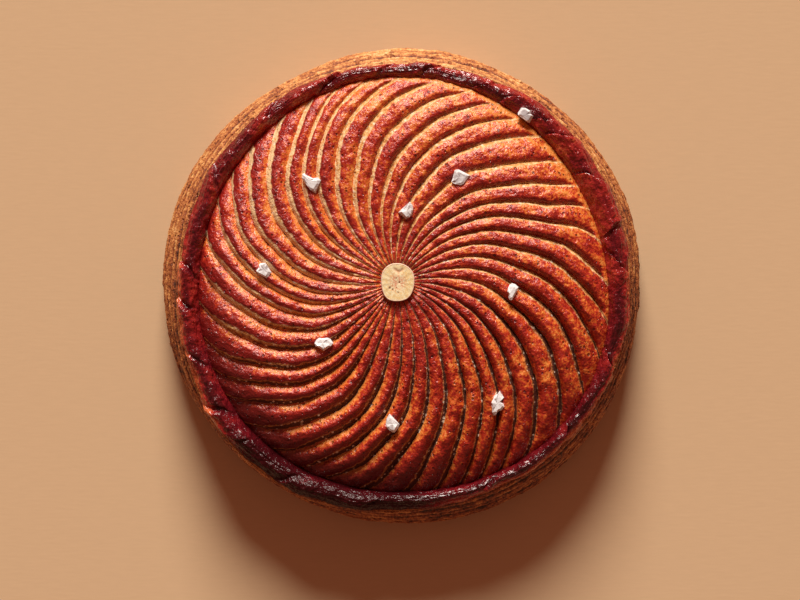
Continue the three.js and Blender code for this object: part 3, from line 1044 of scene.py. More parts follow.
@dataclass(frozen=True)
class ScoredCrust:
    """The domed crust, scored in a spiral. Geometry nodes cut its grooves and raise its relief.

    The knife was held aslant: each ridge has a bare, sloping wall on the side that the stops
    count towards, and a steep glazed flank on the other.
    """

    form: CakeForm
    columns_per_ridge: int = 22
    rows: int = 112
    seat_part: float = 0.085
    seat_depth: float = 1.2 * MM
    groove_depth: float = 2.5 * MM
    wall: float = 0.21
    wall_strays: tuple[Wave, ...] = ((1, 0.06, 165),)
    kept_wall_deg: float = 112
    lit: Point = (0.35, 0.94)
    margin_deg: float = 38
    # Middle of the painted shadow on the dome's lower slope.
    painted_shadow_deg: float = 240
    hub_bake: float = 0.08
    # Painted shade in the grooves near the hub.
    hub_painted_shade: float = 0.35
    golden_strays: tuple[Wave, ...] = ((1, 0.08, 350), (2, 0.07, 240), (3, 0.06, 210))
    shingled_deg: float = 200
    # Painted light and shade across each shingled ridge: golden at its foot, dark at its lip.
    shingle_painted_light: float = 0.75
    ribbed_deg: float = 300
    # Painted light and shade across each ribbed ridge: golden at its foot, dark at its lip.
    rib_painted_light: float = 0.5
    rib_wall: float = 0.06
    rib_depth: float = 0.38
    # Painted shade in the grooves, most round the first direction and less round the second, where the
    # walls stay pale.
    painted_shade_deg: float = 275
    crumbly_deg: float = 168
    crumbly_painted_shade: float = -0.25
    hub_depth: float = 0.08
    edge_fade: float = 0.4
    ridge_bake: float = 0.02
    waver: float = 0.14
    ragged: float = 0.16
    drift: float = 0.5
    blister_scale: float = 190.0
    pimple_scale: float = 560.0
    grit_scale: float = 1100.0
    least_wall: float = 0.04
    lip_step: float = 0.12
    wall_fall: float = 0.58
    skirt_height: float = 20 * MM
    blister_height: float = 0.9 * MM
    pimple_height: float = 0.5 * MM
    grit_height: float = 0.3 * MM
    seed: float = 11.0

    def build(self, material: bpy.types.Material) -> bpy.types.Object:
        """Build the crust as one closed piece.

        Args:
            material: Its finish.

        Returns:
            The piece.
        """
        stop = np.arange(self.form.ridges * self.columns_per_ridge) / self.columns_per_ridge
        part = self.row_parts()
        top = self.form.dome_points(stop, part)
        top[..., 2] += self.form.base_height - self.seat(part)[:, None]
        skirt = top[-1:].copy()
        floor = self.form.base_height + self.skirt_height
        skirt[..., 2] = floor
        pole = self.form.pole
        ends = (Vector((pole.x, pole.y, top[0, 0, 2])), Vector((pole.x, pole.y, floor)))
        rings = np.concatenate([top, skirt])
        piece = ring_object("scored_crust", rings, ends)
        self.store_rule(piece, stop, np.append(part, 1.0), rings)
        values = {"Groove Depth": self.groove_depth, "Blister Height": self.blister_height,
                  "Pimple Height": self.pimple_height, "Grit Height": self.grit_height,
                  "Drift": self.drift, "Seed": self.seed}
        run_tree(piece, self.groove_tree(material), values)
        return piece

    def row_parts(self) -> np.ndarray:
        """Place the rows evenly along the dome's profile.

        Returns:
            The share of the way out at which each row lies.
        """
        part = np.linspace(self.seat_part, 1, 2000)
        height = self.form.dome_height_at(part, self.form.valley_height)
        share = spread_by_length(part * self.form.dome_radius, height, self.rows - 1)
        innermost = 0.9 * self.seat_part
        return np.append(innermost, self.seat_part + (1 - self.seat_part) * share)

    def seat(self, part: np.ndarray) -> np.ndarray:
        """Depth of the seat of the nut at each share of the way out."""
        return self.seat_depth * (1 - smooth_step(part, self.seat_part, self.seat_part + 0.03))

    def store_rule(self, piece: bpy.types.Object, stop: np.ndarray, part: np.ndarray,
                   rings: np.ndarray) -> None:
        """Store on the points what the groove tree and the finish need.

        Args:
            piece: The piece.
            stop: Stops of the columns.
            part: Shares of the rings.
            rings: Points by ring and column.
        """
        angle = np.arctan2(rings[..., 1] - self.form.middle.y, rings[..., 0] - self.form.middle.x)
        grid = np.broadcast_to(part[:, None], angle.shape)
        shingled = toward(angle, self.shingled_deg, -0.3, 0.6)
        ribbed = toward(angle, self.ribbed_deg, -0.05, 0.7) * smooth_step(grid, 0.3, 0.6)
        margin = toward(angle, self.margin_deg, 0.2, 0.75) * smooth_step(grid, 0.955, 0.975)
        # Painted shadow on the dome's lower slope at the lower left, where it falls away from the light.
        painted_shadow = toward(angle, self.painted_shadow_deg, 0.3, 0.95) * smooth_step(grid, 0.78, 0.97)
        kept = smooth_step(np.cos(2 * (angle - math.radians(self.kept_wall_deg))), 0, 0.9)
        wall = self.wall + strays(self.wall_strays, angle)
        wall = wall * (1 - (0.8 - 0.65 * kept) * smooth_step(grid, 0.8, 0.97)) + self.rib_wall * ribbed
        depth = self.hub_depth + (1 - self.hub_depth) * smooth_step(grid, 0.04, 0.58)
        depth = depth * (1 - self.edge_fade * smooth_step(grid, 0.9, 1)) * (1 - margin)
        depth = depth * (1 + self.rib_depth * ribbed)
        # Painted shade in the grooves: most towards the bottom of the cake and near the hub, less on the
        # left.
        painted_shade = toward(angle, self.painted_shade_deg, -0.1, 0.6)
        painted_shade = painted_shade + self.crumbly_painted_shade * toward(angle, self.crumbly_deg, 0.3, 0.9)
        painted_shade = painted_shade + self.hub_painted_shade * (1 - smooth_step(grid, 0.1, 0.38))
        ridge = np.floor(stop)
        own = np.broadcast_to(np.sin(ridge * 2.4) + np.sin(ridge * 5.1 + 1), angle.shape)
        bake = self.ridge_bake * own - strays(self.golden_strays, angle) * smooth_step(grid, 0.2, 0.7)
        bake = bake + self.hub_bake * (1 - smooth_step(grid, 0.1, 0.5))
        rule = {"stop": np.broadcast_to(stop, angle.shape), "part": grid, "wall": wall, "depth": depth,
                "margin": margin, "painted_shadow": painted_shadow, "shingled": shingled, "ribbed": ribbed,
                "painted_shade": painted_shade, "bake": bake}
        for name, values in rule.items():
            store(piece, name, values)

    def groove_tree(self, material: bpy.types.Material) -> bpy.types.NodeTree:
        """Geometry tree that cuts the grooves between the ridges and raises the relief.

        Args:
            material: Finish of the crust.

        Returns:
            The tree. It reads the attributes stop, part, wall, depth, shingled and ribbed. It
            stores cut, from 0 at the lip of a bare wall to 1 at the bottom of its groove,
            facing, from -1 to 1 by how far a slope faces the light, which the finish turns
            into painted light and shade, and tilt, painted light and shade across each ridge,
            from golden at its foot to dark at its lip.
        """
        tree = ReliefTree("cut_grooves", ("Groove Depth", "Blister Height", "Pimple Height",
                                          "Grit Height", "Drift"))
        w, given = tree.wiring, tree.given
        shingled, ribbed = w.named("shingled"), w.named("ribbed")

        def eased(place: Socket, slope: float, start: float, power: float) -> Socket:
            """A straight slope from a start, never below 0, raised to a power."""
            line = w.math("MAXIMUM", w.math("MULTIPLY_ADD", place, slope, start), 0.0)
            return w.math("POWER", line, power)

        waver = tree.swing(self.waver, 130.0)
        ragged = tree.swing(self.ragged, 450.0, 3.0, 0.6)
        drift = w.product(tree.swing(given["Drift"], 26.0, 1.0), w.grade(w.named("part"), 0.15, 0.5))
        place = w.math("FRACT", w.math("ADD", w.named("stop"), drift))
        width = w.math("MAXIMUM", w.total(w.named("wall"), waver, ragged), self.least_wall)
        lip = w.math("SUBTRACT", 1.0, width)
        lie = w.math("MINIMUM", w.math("DIVIDE", place, lip), 1.0)
        cut = w.math("MAXIMUM", w.math("DIVIDE", w.math("SUBTRACT", place, lip), width), 0.0)
        flank = w.mix(shingled, eased(lie, -2.2, 1.0, 2.3), eased(lie, -1.2, 1.0, 1.8))
        shoulder = w.product(eased(lie, 2.0, -1.0, 2.0),
                             w.total(w.mix(shingled, 0.3, 0.12), w.product(ribbed, 0.35)))
        step = w.product(w.math("MINIMUM", w.product(cut, 5.0), 1.0), self.lip_step)
        bare = w.math("ADD", step, w.product(w.math("POWER", cut, 2.4), self.wall_fall))
        depth = w.product(w.total(flank, shoulder, bare), w.named("depth"), given["Groove Depth"])
        bared = w.math("GREATER_THAN", cut, 0.001)
        glazed = w.math("SUBTRACT", 1.0, bared)
        blisters = tree.swing(given["Blister Height"], self.blister_scale)
        pimples = tree.swing(given["Pimple Height"], self.pimple_scale, 2.0, 0.6)
        grit = tree.swing(given["Grit Height"], self.grit_scale, 1.0)
        relief = w.total(blisters, w.product(pimples, glazed), w.product(grit, bared))
        top_only = w.grade(w.named("part"), 0.0, 0.12)
        rise = w.product(w.math("SUBTRACT", relief, depth), top_only)
        # Painted light and shade: how far each slope faces the light.
        light_facing = w.node("ShaderNodeVectorMath", {"operation": "DOT_PRODUCT"},
                        {0: tree.normal, 1: (*self.lit, 0.0)}).outputs["Value"]
        # Painted light and shade across each ridge: golden at its foot, dark at its lip.
        lipward = w.math("SUBTRACT", lie, 0.5)
        tilt = w.total(w.product(lipward, shingled, self.shingle_painted_light),
                       w.product(lipward, ribbed, self.rib_painted_light))
        return tree.finish(w.along_z(rise), {"cut": cut, "light_facing": light_facing, "tilt": tilt}, material)


# ---- The rim --------------------------------------------------------------------------


@dataclass(frozen=True)
class Lap:
    """One place where the rim was folded over itself: a step that fades along the rim."""

    degrees: float
    rise: float
    reach_deg: float = 11
    slant_deg: float = -8


@dataclass(frozen=True)
class SealedRim:
    """The raised rim round the dome, folded in laps. Geometry nodes raise its relief."""

    form: CakeForm
    columns: int = 1300
    rows: int = 62
    crest_share: float = 0.45
    face_steepness: float = 2.6
    back_roundness: float = 1.8
    inner_tuck: float = 1.6 * MM
    overhang: float = 0.2 * MM
    valley_sink: float = 0.8 * MM
    edge_drop: float = 1.0 * MM
    keel: tuple[Point, ...] = ((0.9, 4 * MM), (0.15, 6 * MM))
    full_lift: float = 1.3 * MM
    slit_depth: float = 0.9 * MM
    slit_deg: float = 0.6
    wobble: float = 0.45 * MM
    wobble_seed: int = 5
    bubble_height: float = 1.3 * MM
    bubble_scale: float = 260.0
    wrinkle_height: float = 0.9 * MM
    seed: float = 21.0
    rosy_strays: tuple[Wave, ...] = ((1, 0.15, 100), (3, 0.15, 60))
    # Middle of the painted shadow that the dome casts on the rim.
    painted_shadow_deg: float = 249
    laps: tuple[Lap, ...] = (
        Lap(6, -1.8 * MM, 9), Lap(15.5, 1.6 * MM, 7, 3), Lap(30, -2.5 * MM, 14),
        Lap(43.5, -1.9 * MM, 9), Lap(50, -1.6 * MM, 8), Lap(60, -1.0 * MM, 7), Lap(68, -1.2 * MM, 7),
        Lap(84, 1.1 * MM, 14), Lap(96, 1.0 * MM, 8), Lap(111, 2.0 * MM, 13, -11),
        Lap(128, 1.0 * MM, 10), Lap(150, 1.3 * MM, 12),
        Lap(176, 2.2 * MM, 9, -6), Lap(185.5, 1.9 * MM, 12, -5), Lap(200, 1.0 * MM, 8),
        Lap(214.5, 2.0 * MM, 14), Lap(223, -0.9 * MM, 6), Lap(240, 1.1 * MM, 10), Lap(262, -0.8 * MM, 9),
        Lap(294, 1.0 * MM, 8), Lap(318, -1.2 * MM, 10), Lap(340, -1.4 * MM, 11),
    )

    def build(self, material: bpy.types.Material) -> bpy.types.Object:
        """Build the rim as one closed ring.

        Args:
            material: Its finish.

        Returns:
            The piece.
        """
        angle = np.linspace(0, TURN, self.columns, endpoint=False)[None, :]
        across = self.row_shares()[:, None]
        random = np.random.default_rng(self.wobble_seed)
        lean, sway, swell_out = (uneven(angle, random, self.wobble) for _ in range(3))
        inner = self.form.dome(angle) - self.inner_tuck
        outer = self.form.rim(angle) + self.overhang
        step, slit = self.lap_steps(angle, across)
        body = np.sin(math.pi * np.clip(across, 0, 1)) ** 0.7
        radius = inner + (outer - inner) * across + (step + lean) * body + 0.5 * swell_out * across
        height = self.profile(across, self.form.valley(angle) - self.valley_sink)
        height = height + (strays(self.form.rim_height_strays, angle) + sway) * body
        height = height + step * body - self.slit_depth * slit * body
        rings = [self.form.around(angle, radius, height)]
        for share, drop in self.keel:
            under = inner + (outer - inner) * share
            rings.append(self.form.around(angle, under, self.form.valley(angle) - drop))
        rings = np.concatenate([ring.reshape(-1, self.columns, 3) for ring in rings])
        piece = ring_object("sealed_rim", rings, None)
        # One of these marks paints the shadow that the dome casts on the rim, at the lower left.
        rule = {"across": across, "lifted": np.clip(step / self.full_lift, 0, 1) ** 4 * body,
                "rosy": strays(self.rosy_strays, angle),
                "painted_shadow": toward(angle, self.painted_shadow_deg, 0.80, 0.96)}
        for name, marks in rule.items():
            store(piece, name, np.broadcast_to(marks, radius.shape))
        values = {"Bubble Height": self.bubble_height, "Wrinkle Height": self.wrinkle_height,
                  "Seed": self.seed}
        run_tree(piece, self.relief_tree(material), values)
        return piece

    def profile(self, across: np.ndarray, valley: np.ndarray | float) -> np.ndarray:
        """Height of the rim across its width, from the valley over the crest to its edge.

        Args:
            across: Shares of the way from the inner side to the outer.
            valley: Height of the valley inside the rim.

        Returns:
            The heights.
        """
        climb = np.clip(across / self.crest_share, 0, 1)
        inner = valley + (self.form.rim_height - valley) * (1 - (1 - climb) ** self.face_steepness)
        fall = np.clip((across - self.crest_share) / (1 - self.crest_share), 0, 1)
        edge = self.form.rim_edge_height - self.edge_drop
        outer = edge + (self.form.rim_height - edge) * (1 - fall ** self.back_roundness)
        return np.where(across < self.crest_share, inner, outer)

    def row_shares(self) -> np.ndarray:
        """Place the rows evenly along the rim's profile.

        Returns:
            The share of the rim's width at which each row lies.
        """
        samples = np.linspace(0, 1, 4000)
        width = self.form.rim_radius - self.form.dome_radius + self.inner_tuck
        height = self.profile(samples, self.form.valley_height)
        return spread_by_length(samples * width, height, self.rows)

    def lap_steps(self, angle: np.ndarray, across: np.ndarray) -> tuple[np.ndarray, np.ndarray]:
        """Height of the laps and the mask of their slits.

        Args:
            angle: Directions in radians.
            across: Shares of the rim's width.

        Returns:
            The step height, and 1 in each slit.
        """
        step = np.zeros(np.broadcast(angle, across).shape)
        slit = np.zeros_like(step)
        for lap in self.laps:
            start = math.radians(lap.degrees) + math.radians(lap.slant_deg) * (across - 0.5)
            start = start + math.radians(0.5) * np.sin(across * 9 + lap.degrees)
            gap = (angle - start + math.pi) % TURN - math.pi
            gap = gap * math.copysign(1, lap.rise)
            fade = np.exp(-gap / math.radians(lap.reach_deg))
            step += np.where(gap > 0, abs(lap.rise) * fade, 0) * smooth_step(gap, 0, math.radians(0.4))
            slit_width = math.radians(self.slit_deg)
            notch = np.exp(-((gap + slit_width) / slit_width) ** 2) * abs(lap.rise) / (1.5 * MM)
            slit = np.maximum(slit, notch)
        return step, slit

    def relief_tree(self, material: bpy.types.Material) -> bpy.types.NodeTree:
        """Geometry tree that raises bubbles and wrinkles along the rim.

        Args:
            material: Finish of the rim.

        Returns:
            The tree. It reads the attribute across.
        """
        tree = ReliefTree("raise_rim", ("Bubble Height", "Wrinkle Height"))
        w, given = tree.wiring, tree.given
        across = w.named("across")
        bubbles = tree.swing(given["Bubble Height"], self.bubble_scale, 3.0, 0.6)
        flat = w.vector_math("MULTIPLY", tree.here, (45.0, 45.0, 0.0))
        lane = w.vector_math("ADD", flat, w.along_z(w.product(across, 9.0)))
        wrinkles = tree.swing(given["Wrinkle Height"], 1.0, 3.0, 0.6, lane)
        inside = w.product(w.grade(across, 0.0, 0.12), w.grade(across, 1.0, 0.92))
        rise = w.product(w.total(bubbles, wrinkles), inside)
        return tree.finish(w.scaled(tree.normal, rise), {}, material)


# ---- The side -------------------------------------------------------------------------


@dataclass(frozen=True)
class FlakySide:
    """The risen side in thin leaves, over the flat base. Geometry nodes fray the leaves."""

    form: CakeForm
    columns: int = 960
    leaves: int = 10
    rows_per_leaf: int = 9
    shoulder_height: float = 30.6 * MM
    shoulder: tuple[Point, ...] = (
        (4.5 * MM, 9 * MM), (2.5 * MM, 1.5 * MM), (0.6 * MM, -0.1 * MM), (-0.3 * MM, -0.05 * MM))
    core_height: float = 20 * MM
    foot_tuck: float = 0.6 * MM
    wander: float = 0.6 * MM
    ledge: float = 1.5 * MM
    fray: float = 1.3 * MM
    chip: float = 0.6 * MM
    # Painted light and shade round the side: lighter at the top, towards the light, darker at the lower
    # right, away from it.
    painted_shade_strays: tuple[Wave, ...] = ((1, 0.14, -75), (2, 0.04, 0))
    seed: float = 31.0

    def build(self, material: bpy.types.Material) -> bpy.types.Object:
        """Build the side and the base as one closed piece.

        Args:
            material: Its finish.

        Returns:
            The piece.
        """
        angle = np.linspace(0, TURN, self.columns, endpoint=False)
        level = np.ones_like(angle)
        rim = self.form.rim(angle)
        top = self.shoulder_height
        rings = [self.form.around(angle, rim - inward, (top - drop) * level)
                 for inward, drop in self.shoulder]
        lips, numbers = [1.0] * len(rings), [-1.0] * len(rings)
        for leaf in range(self.leaves):
            for share in (np.arange(self.rows_per_leaf) + 0.5) / self.rows_per_leaf:
                height = self.leaf_height(angle, leaf, share)
                rings.append(self.form.around(angle, self.form.side_at(angle, height), height))
                lips.append(math.sin(math.pi * share) ** 0.8)
                numbers.append(float(leaf))
        foot = self.form.side_at(angle, 0 * angle) - self.foot_tuck
        rings.append(self.form.around(angle, foot, 0 * angle))
        lips.append(0.0)
        numbers.append(float(self.leaves))
        middle = self.form.middle
        low = self.form.base_height
        ends = (Vector((middle.x, middle.y, low + self.core_height)), Vector((middle.x, middle.y, low)))
        piece = ring_object("flaky_side", np.stack(rings), ends)
        store(piece, "lip", np.repeat(lips, self.columns))
        store(piece, "leaf", np.repeat(numbers, self.columns))
        # Painted light and shade round the side.
        store(piece, "painted_shade", np.tile(strays(self.painted_shade_strays, angle), len(rings)))
        values = {"Ledge": self.ledge, "Fray": self.fray, "Chip": self.chip, "Seed": self.seed}
        run_tree(piece, self.leaf_tree(material), values)
        return piece

    def leaf_height(self, angle: np.ndarray, leaf: int, share: float) -> np.ndarray:
        """Height of a line on a leaf, which wanders up and down round the cake.

        Args:
            angle: Directions in radians.
            leaf: Number of the leaf from the top.
            share: Share of the way down the leaf.

        Returns:
            The heights.
        """
        down = (leaf + share) / self.leaves
        wander = np.sin((3 + leaf % 5) * angle + 2.3 * leaf)
        wander = wander + 0.5 * np.sin((11 + leaf % 4) * angle + 1.3 * leaf)
        return self.shoulder_height * (1 - down) + self.wander * math.sin(math.pi * down) * wander

    def leaf_tree(self, material: bpy.types.Material) -> bpy.types.NodeTree:
        """Geometry tree that sets each leaf out or back and frays its edge.

        Args:
            material: Finish of the side.

        Returns:
            The tree. It reads the attributes lip and leaf.
        """
        tree = ReliefTree("fray_leaves", ("Ledge", "Fray", "Chip"))
        w, given = tree.wiring, tree.given
        leaf, lip = w.named("leaf"), w.named("lip")
        flat = w.vector_math("MULTIPLY", tree.here, (1.0, 1.0, 0.0))
        own_place = w.vector_math("ADD", flat, w.along_z(w.product(leaf, 0.37)))
        sway = tree.swing(given["Fray"], 45.0, vector=own_place)
        chips = tree.swing(given["Chip"], 300.0, 3.0, 0.65, own_place)
        set_back = w.product(w.math("SUBTRACT", lip, 1.0), given["Ledge"])
        out = w.total(set_back, w.product(w.total(sway, chips), lip))
        rough = tree.swing(w.product(given["Chip"], 0.9), 480.0, 3.0, 0.6)
        on_leaf = w.product(w.math("GREATER_THAN", leaf, -0.5),
                            w.math("LESS_THAN", leaf, self.leaves - 0.5))
        rise = w.product(w.total(out, rough), on_leaf)
        return tree.finish(w.scaled(w.vector_math("NORMALIZE", flat), rise), {}, material)


# ---- The nut and the salt -------------------------------------------------------------


@dataclass(frozen=True)
class HazelnutSlice:
    """The slice of hazelnut at the pole of the spiral, in the place of its solid."""

    roundness: float = 2.35
    sides: int = 160
    face_rows: int = 40
    wall_rows: int = 8
    edge_round: float = 0.35 * MM
    foot_share: float = 0.97
    skin_depth: float = 0.06 * MM
    ripple: float = 0.04 * MM
    ripples: int = 17
    crease_depth: float = 0.35 * MM
    crease_at: Point = (0.08, 0.52)
    crease_width: float = 0.11
    heart_depth: float = 0.25 * MM
    heart_at: Point = (0.0, -0.1)
    heart_spread: float = 0.12
    pit_depth: float = 0.3 * MM
    pits: tuple[tuple[float, float, float], ...] = (
        (-0.46, -0.30, 0.07), (-0.30, -0.38, 0.05), (0.02, -0.55, 0.05), (0.10, -0.02, 0.05))

    def build(self, low: Vector, high: Vector, material: bpy.types.Material) -> bpy.types.Object:
        """Build the slice inside the box of its solid.

        Args:
            low: Lowest corner of the box.
            high: Highest corner of the box.
            material: Its finish.

        Returns:
            The piece.
        """
        middle = (low + high) / 2
        half = (high - low) / 2
        angle = np.linspace(0, TURN, self.sides, endpoint=False)
        power = 2 / self.roundness
        outline = np.stack([half.x * np.sign(np.cos(angle)) * np.abs(np.cos(angle)) ** power,
                            half.y * np.sign(np.sin(angle)) * np.abs(np.sin(angle)) ** power], axis=-1)
        outline *= (1 + 0.015 * np.sin(3 * angle + 1) + 0.01 * np.sin(5 * angle))[:, None]
        rows = []
        none = np.zeros(self.sides)
        inner = 1 - self.edge_round / half.x
        for share in np.linspace(0.02, 1, self.face_rows):
            xy = outline * share * inner
            relief, crease, stain = self.face_relief(xy / np.array([half.x, half.y]), share)
            rows.append((np.column_stack([xy, high.z - relief]), none + share * inner, crease, stain))
        for turn in np.linspace(0, math.pi / 2, self.wall_rows)[1:]:
            grow = inner + (1 - inner) * math.sin(turn)
            drop = self.edge_round * (1 - math.cos(turn))
            ring = np.column_stack([outline * grow, np.full(self.sides, high.z - drop)])
            rows.append((ring, none + 1, none, none))
        rings, *marks = (list(column) for column in zip(*rows))
        rings.append(np.column_stack([outline * self.foot_share, np.full(self.sides, low.z)]))
        points = np.stack(rings)
        points[..., :2] += np.array([middle.x, middle.y])
        centre_relief, _, _ = self.face_relief(np.zeros((1, 2)), 0.0)
        ends = (Vector((middle.x, middle.y, high.z - float(centre_relief[0]))),
                Vector((middle.x, middle.y, low.z)))
        piece = ring_object("cut_hazelnut", points, ends)
        for name, values in zip(("spread", "crease", "stain"), marks):
            store(piece, name, np.stack(values))
        piece.data.materials.append(material)
        return piece

    def face_relief(self, place: np.ndarray, share: float) -> tuple[np.ndarray, np.ndarray, np.ndarray]:
        """Depth of the cut face below its solid's top, with its crease and its pits.

        Args:
            place: Places on the face, from -1 to 1 each way.
            share: Share of the way from the middle to the edge.

        Returns:
            The depth, 1 along the crease, and 1 in the pits.
        """
        x, y = place[:, 0], place[:, 1]
        beside = np.abs(x - self.crease_at[0])
        fold = np.abs(y - (self.crease_at[1] + 0.5 * beside))
        crease = np.exp(-(fold / self.crease_width) ** 2) * (1 - smooth_step(beside, 0.15, 0.45))
        to_heart = (x - self.heart_at[0]) ** 2 + (y - self.heart_at[1]) ** 2
        heart = np.exp(-to_heart / self.heart_spread)
        ripple = self.ripple * np.sin(self.ripples * np.arctan2(y, x)) * share
        pitted = np.zeros_like(x)
        for at_x, at_y, size in self.pits:
            pitted = np.maximum(pitted, np.exp(-((x - at_x) ** 2 + (y - at_y) ** 2) / size ** 2))
        depth = self.crease_depth * crease + self.heart_depth * heart + self.pit_depth * pitted
        return depth + ripple + self.skin_depth, crease, pitted


@dataclass(frozen=True)
class Crystal:
    """One crystal of coarse salt: place, height and broken outline in mm, and how clear it is."""

    place: Point
    height: float
    outline: tuple[Point, ...]
    clear: float = 0.0


@dataclass(frozen=True)
class SaltCrystals:
    """Nine coarse crystals that lie on the crust, as one piece."""

    sink: float = 0.5 * MM
    lean: float = 0.12
    uneven: float = 0.07
    rough: float = 0.17
    seed: int = 20
    crystals: tuple[Crystal, ...] = (
        Crystal((-37.4, 42.1), 2.3, (
            (-3.8, 3.7), (-2.9, 4.1), (-2.0, 3.3), (0.6, 2.1), (2.8, 2.4), (3.8, 1.2), (3.3, -0.45),
            (1.5, -3.9), (-0.4, -3.0), (-1.8, -1.3), (-2.9, 0.4), (-3.9, 2.1))),
        Crystal((1.6, 30.8), 2.6, (
            (1.3, 3.6), (2.5, 2.2), (2.8, 0.4), (2.0, -2.0), (1.4, -2.6), (-0.2, -3.6), (-3.2, -0.7),
            (-2.2, 0.6), (-0.3, 2.2))),
        Crystal((23.7, 44.3), 1.9, (
            (-1.9, 3.4), (-0.7, 3.5), (3.8, 1.0), (3.5, 0.3), (1.4, -2.5), (0, -3.3), (-2.3, -2.6),
            (-3.8, -1.7), (-3.2, -0.2), (-2.6, 3.0)), 0.55),
        Crystal((50.6, 70.4), 2.6, (
            (-1.6, 3.1), (0, 3.0), (1.9, 1.8), (2.05, 0.6), (3.2, -0.3), (1.6, -3.1), (0.3, -2.4),
            (-3.2, 0.15), (-3.1, 1.1)), 0.75),
        Crystal((-57.1, 6.3), 2.2, (
            (-1.05, 3.3), (0.8, 3.1), (1.5, 2.45), (2.1, 1.2), (3.2, -0.8), (2.5, -1.8), (1.3, -3.4),
            (0.4, -2.9), (-2.1, -1.5), (-3.3, -0.2), (-2.0, 1.2), (-1.9, 2.7)), 0.35),
        Crystal((-32.2, -23.7), 2.4, (
            (-3.8, 0.2), (-3.2, 1.6), (-2.0, 2.6), (-0.8, 2.2), (1.5, 2.6), (2.7, 2.0), (3.9, 0.2),
            (2.9, -0.9), (0.9, -2.2), (-0.2, -3.0), (-1.0, -2.3), (-2.8, -1.1), (-3.6, -1.1))),
        Crystal((-4.1, -56.4), 2.3, (
            (-1.3, 3.8), (0.4, 2.6), (2.9, -0.3), (2.25, -1.8), (1.0, -3.7), (0, -3.7), (-1.2, -3.0),
            (-2.6, -1.5), (-3.0, -0.2), (-2.5, 1.8))),
        Crystal((38.6, -48.3), 2.6, (
            (1.3, 5.1), (3.2, 2.9), (2.05, 2.0), (1.9, 0.9), (2.9, 0.1), (3.2, -1.3), (1.8, -2.9),
            (0.9, -3.1), (0, -4.0), (-0.3, -4.8), (-1.3, -4.9), (-2.0, -3.8), (-2.1, -2.1),
            (-2.9, 0.5), (-1.8, 3.0), (-0.6, 3.6), (0.4, 4.2))),
        Crystal((45.2, -2.4), 2.1, (
            (-0.45, 3.5), (0.8, 3.0), (2.1, 1.8), (1.8, 0.6), (0, -2.7), (-0.45, -3.5), (-1.3, -3.5),
            (-1.9, -2.5), (-1.7, -1.2), (-2.5, 0.2), (-2.1, 1.6), (-1.5, 3.1))),
    )

    def build(self, ground: Ground, middle: Vector, material: bpy.types.Material) -> bpy.types.Object:
        """Build the crystals where they touch the crust.

        Args:
            ground: Height of the crust over a place.
            middle: Middle of the cake.
            material: Their finish.

        Returns:
            The piece.
        """
        random = np.random.default_rng(self.seed)
        points, faces, clear = [], [], []
        for crystal in self.crystals:
            self.add_crystal(crystal, ground, middle, random, points, faces)
            # Only the top ring and the two middle points are clear.
            edge_points = 3 * len(crystal.outline)
            top_points = len(points) - len(clear) - edge_points
            clear += [0.0] * edge_points + [crystal.clear] * top_points
        piece = mesh_object("salt_crystals", np.array(points), faces, smooth=False)
        store(piece, "clear", np.array(clear))
        piece.data.materials.append(material)
        return piece

    def add_crystal(self, crystal: Crystal, ground: Ground, middle: Vector,
                    random: np.random.Generator, points: list, faces: list) -> None:
        """Add the points and faces of one crystal.

        Args:
            crystal: The crystal.
            ground: Height of the crust over a place.
            middle: Middle of the cake.
            random: Source of the uneven breaks.
            points: Points so far, added to.
            faces: Faces so far, added to.
        """
        outline = np.array(crystal.outline) * MM
        count = len(outline)
        centre = outline.mean(0)
        origin = Vector((crystal.place[0] * MM + middle.x, crystal.place[1] * MM + middle.y, 0))
        feet = [centre, *(0.6 * (outline - centre) + centre)]
        heights = [ground(origin.x + x, origin.y + y) for x, y in feet]
        foot = float(np.mean(heights))
        tall = crystal.height * MM
        tilt = random.uniform(-self.lean, self.lean, 2)
        start = len(points)
        for inset, level in ((0.86, -self.sink), (1.0, 0.35 * tall), (0.95, 0.75 * tall), (0.66, tall)):
            for corner in outline:
                x, y = centre + (corner - centre) * inset * (1 + random.uniform(-self.uneven, self.uneven))
                rough = random.uniform(-self.rough, self.rough) * tall if level > 0 else 0
                z = foot + level + rough + (tilt[0] * x + tilt[1] * y if level > 0.5 * tall else 0)
                points.append((origin.x + x, origin.y + y, z))
        peak = centre + random.uniform(-0.4, 0.4, 2) * MM
        points.append((origin.x + centre[0], origin.y + centre[1], foot - self.sink))
        points.append((origin.x + peak[0], origin.y + peak[1], foot + 1.02 * tall))
        bottom, top = len(points) - 2, len(points) - 1
        turned = polygon_area(outline) < 0
        for here in range(count):
            beside = (here + 1) % count
            here, beside = (beside, here) if turned else (here, beside)
            faces.append((bottom, start + beside, start + here))
            for ring in range(3):
                low, high = start + ring * count, start + (ring + 1) * count
                faces.append((low + here, low + beside, high + beside))
                faces.append((low + here, high + beside, high + here))
            faces.append((top, start + 3 * count + here, start + 3 * count + beside))


def ground_of(*pieces: bpy.types.Object) -> Ground:
    """Height of the highest of some pieces over a place.

    Args:
        pieces: The pieces.

    Returns:
        A function of x and y.
    """
    bpy.context.view_layer.update()
    depsgraph = bpy.context.evaluated_depsgraph_get()
    trees = [BVHTree.FromObject(piece, depsgraph) for piece in pieces]

    def height(x: float, y: float) -> float:
        """Height of the highest piece over a place, or 0 beside them all."""
        hits = [tree.ray_cast(Vector((x, y, 100 * MM)), Vector((0, 0, -1)))[0] for tree in trees]
        return max((hit.z for hit in hits if hit is not None), default=0.0)

    return height


def polygon_area(outline: np.ndarray) -> float:
    """Signed area of an outline, above zero where it runs anticlockwise."""
    beyond = np.roll(outline, -1, axis=0)
    return float(np.sum(outline[:, 0] * beyond[:, 1] - beyond[:, 0] * outline[:, 1]) / 2)


# ---- Studio ---------------------------------------------------------------------------


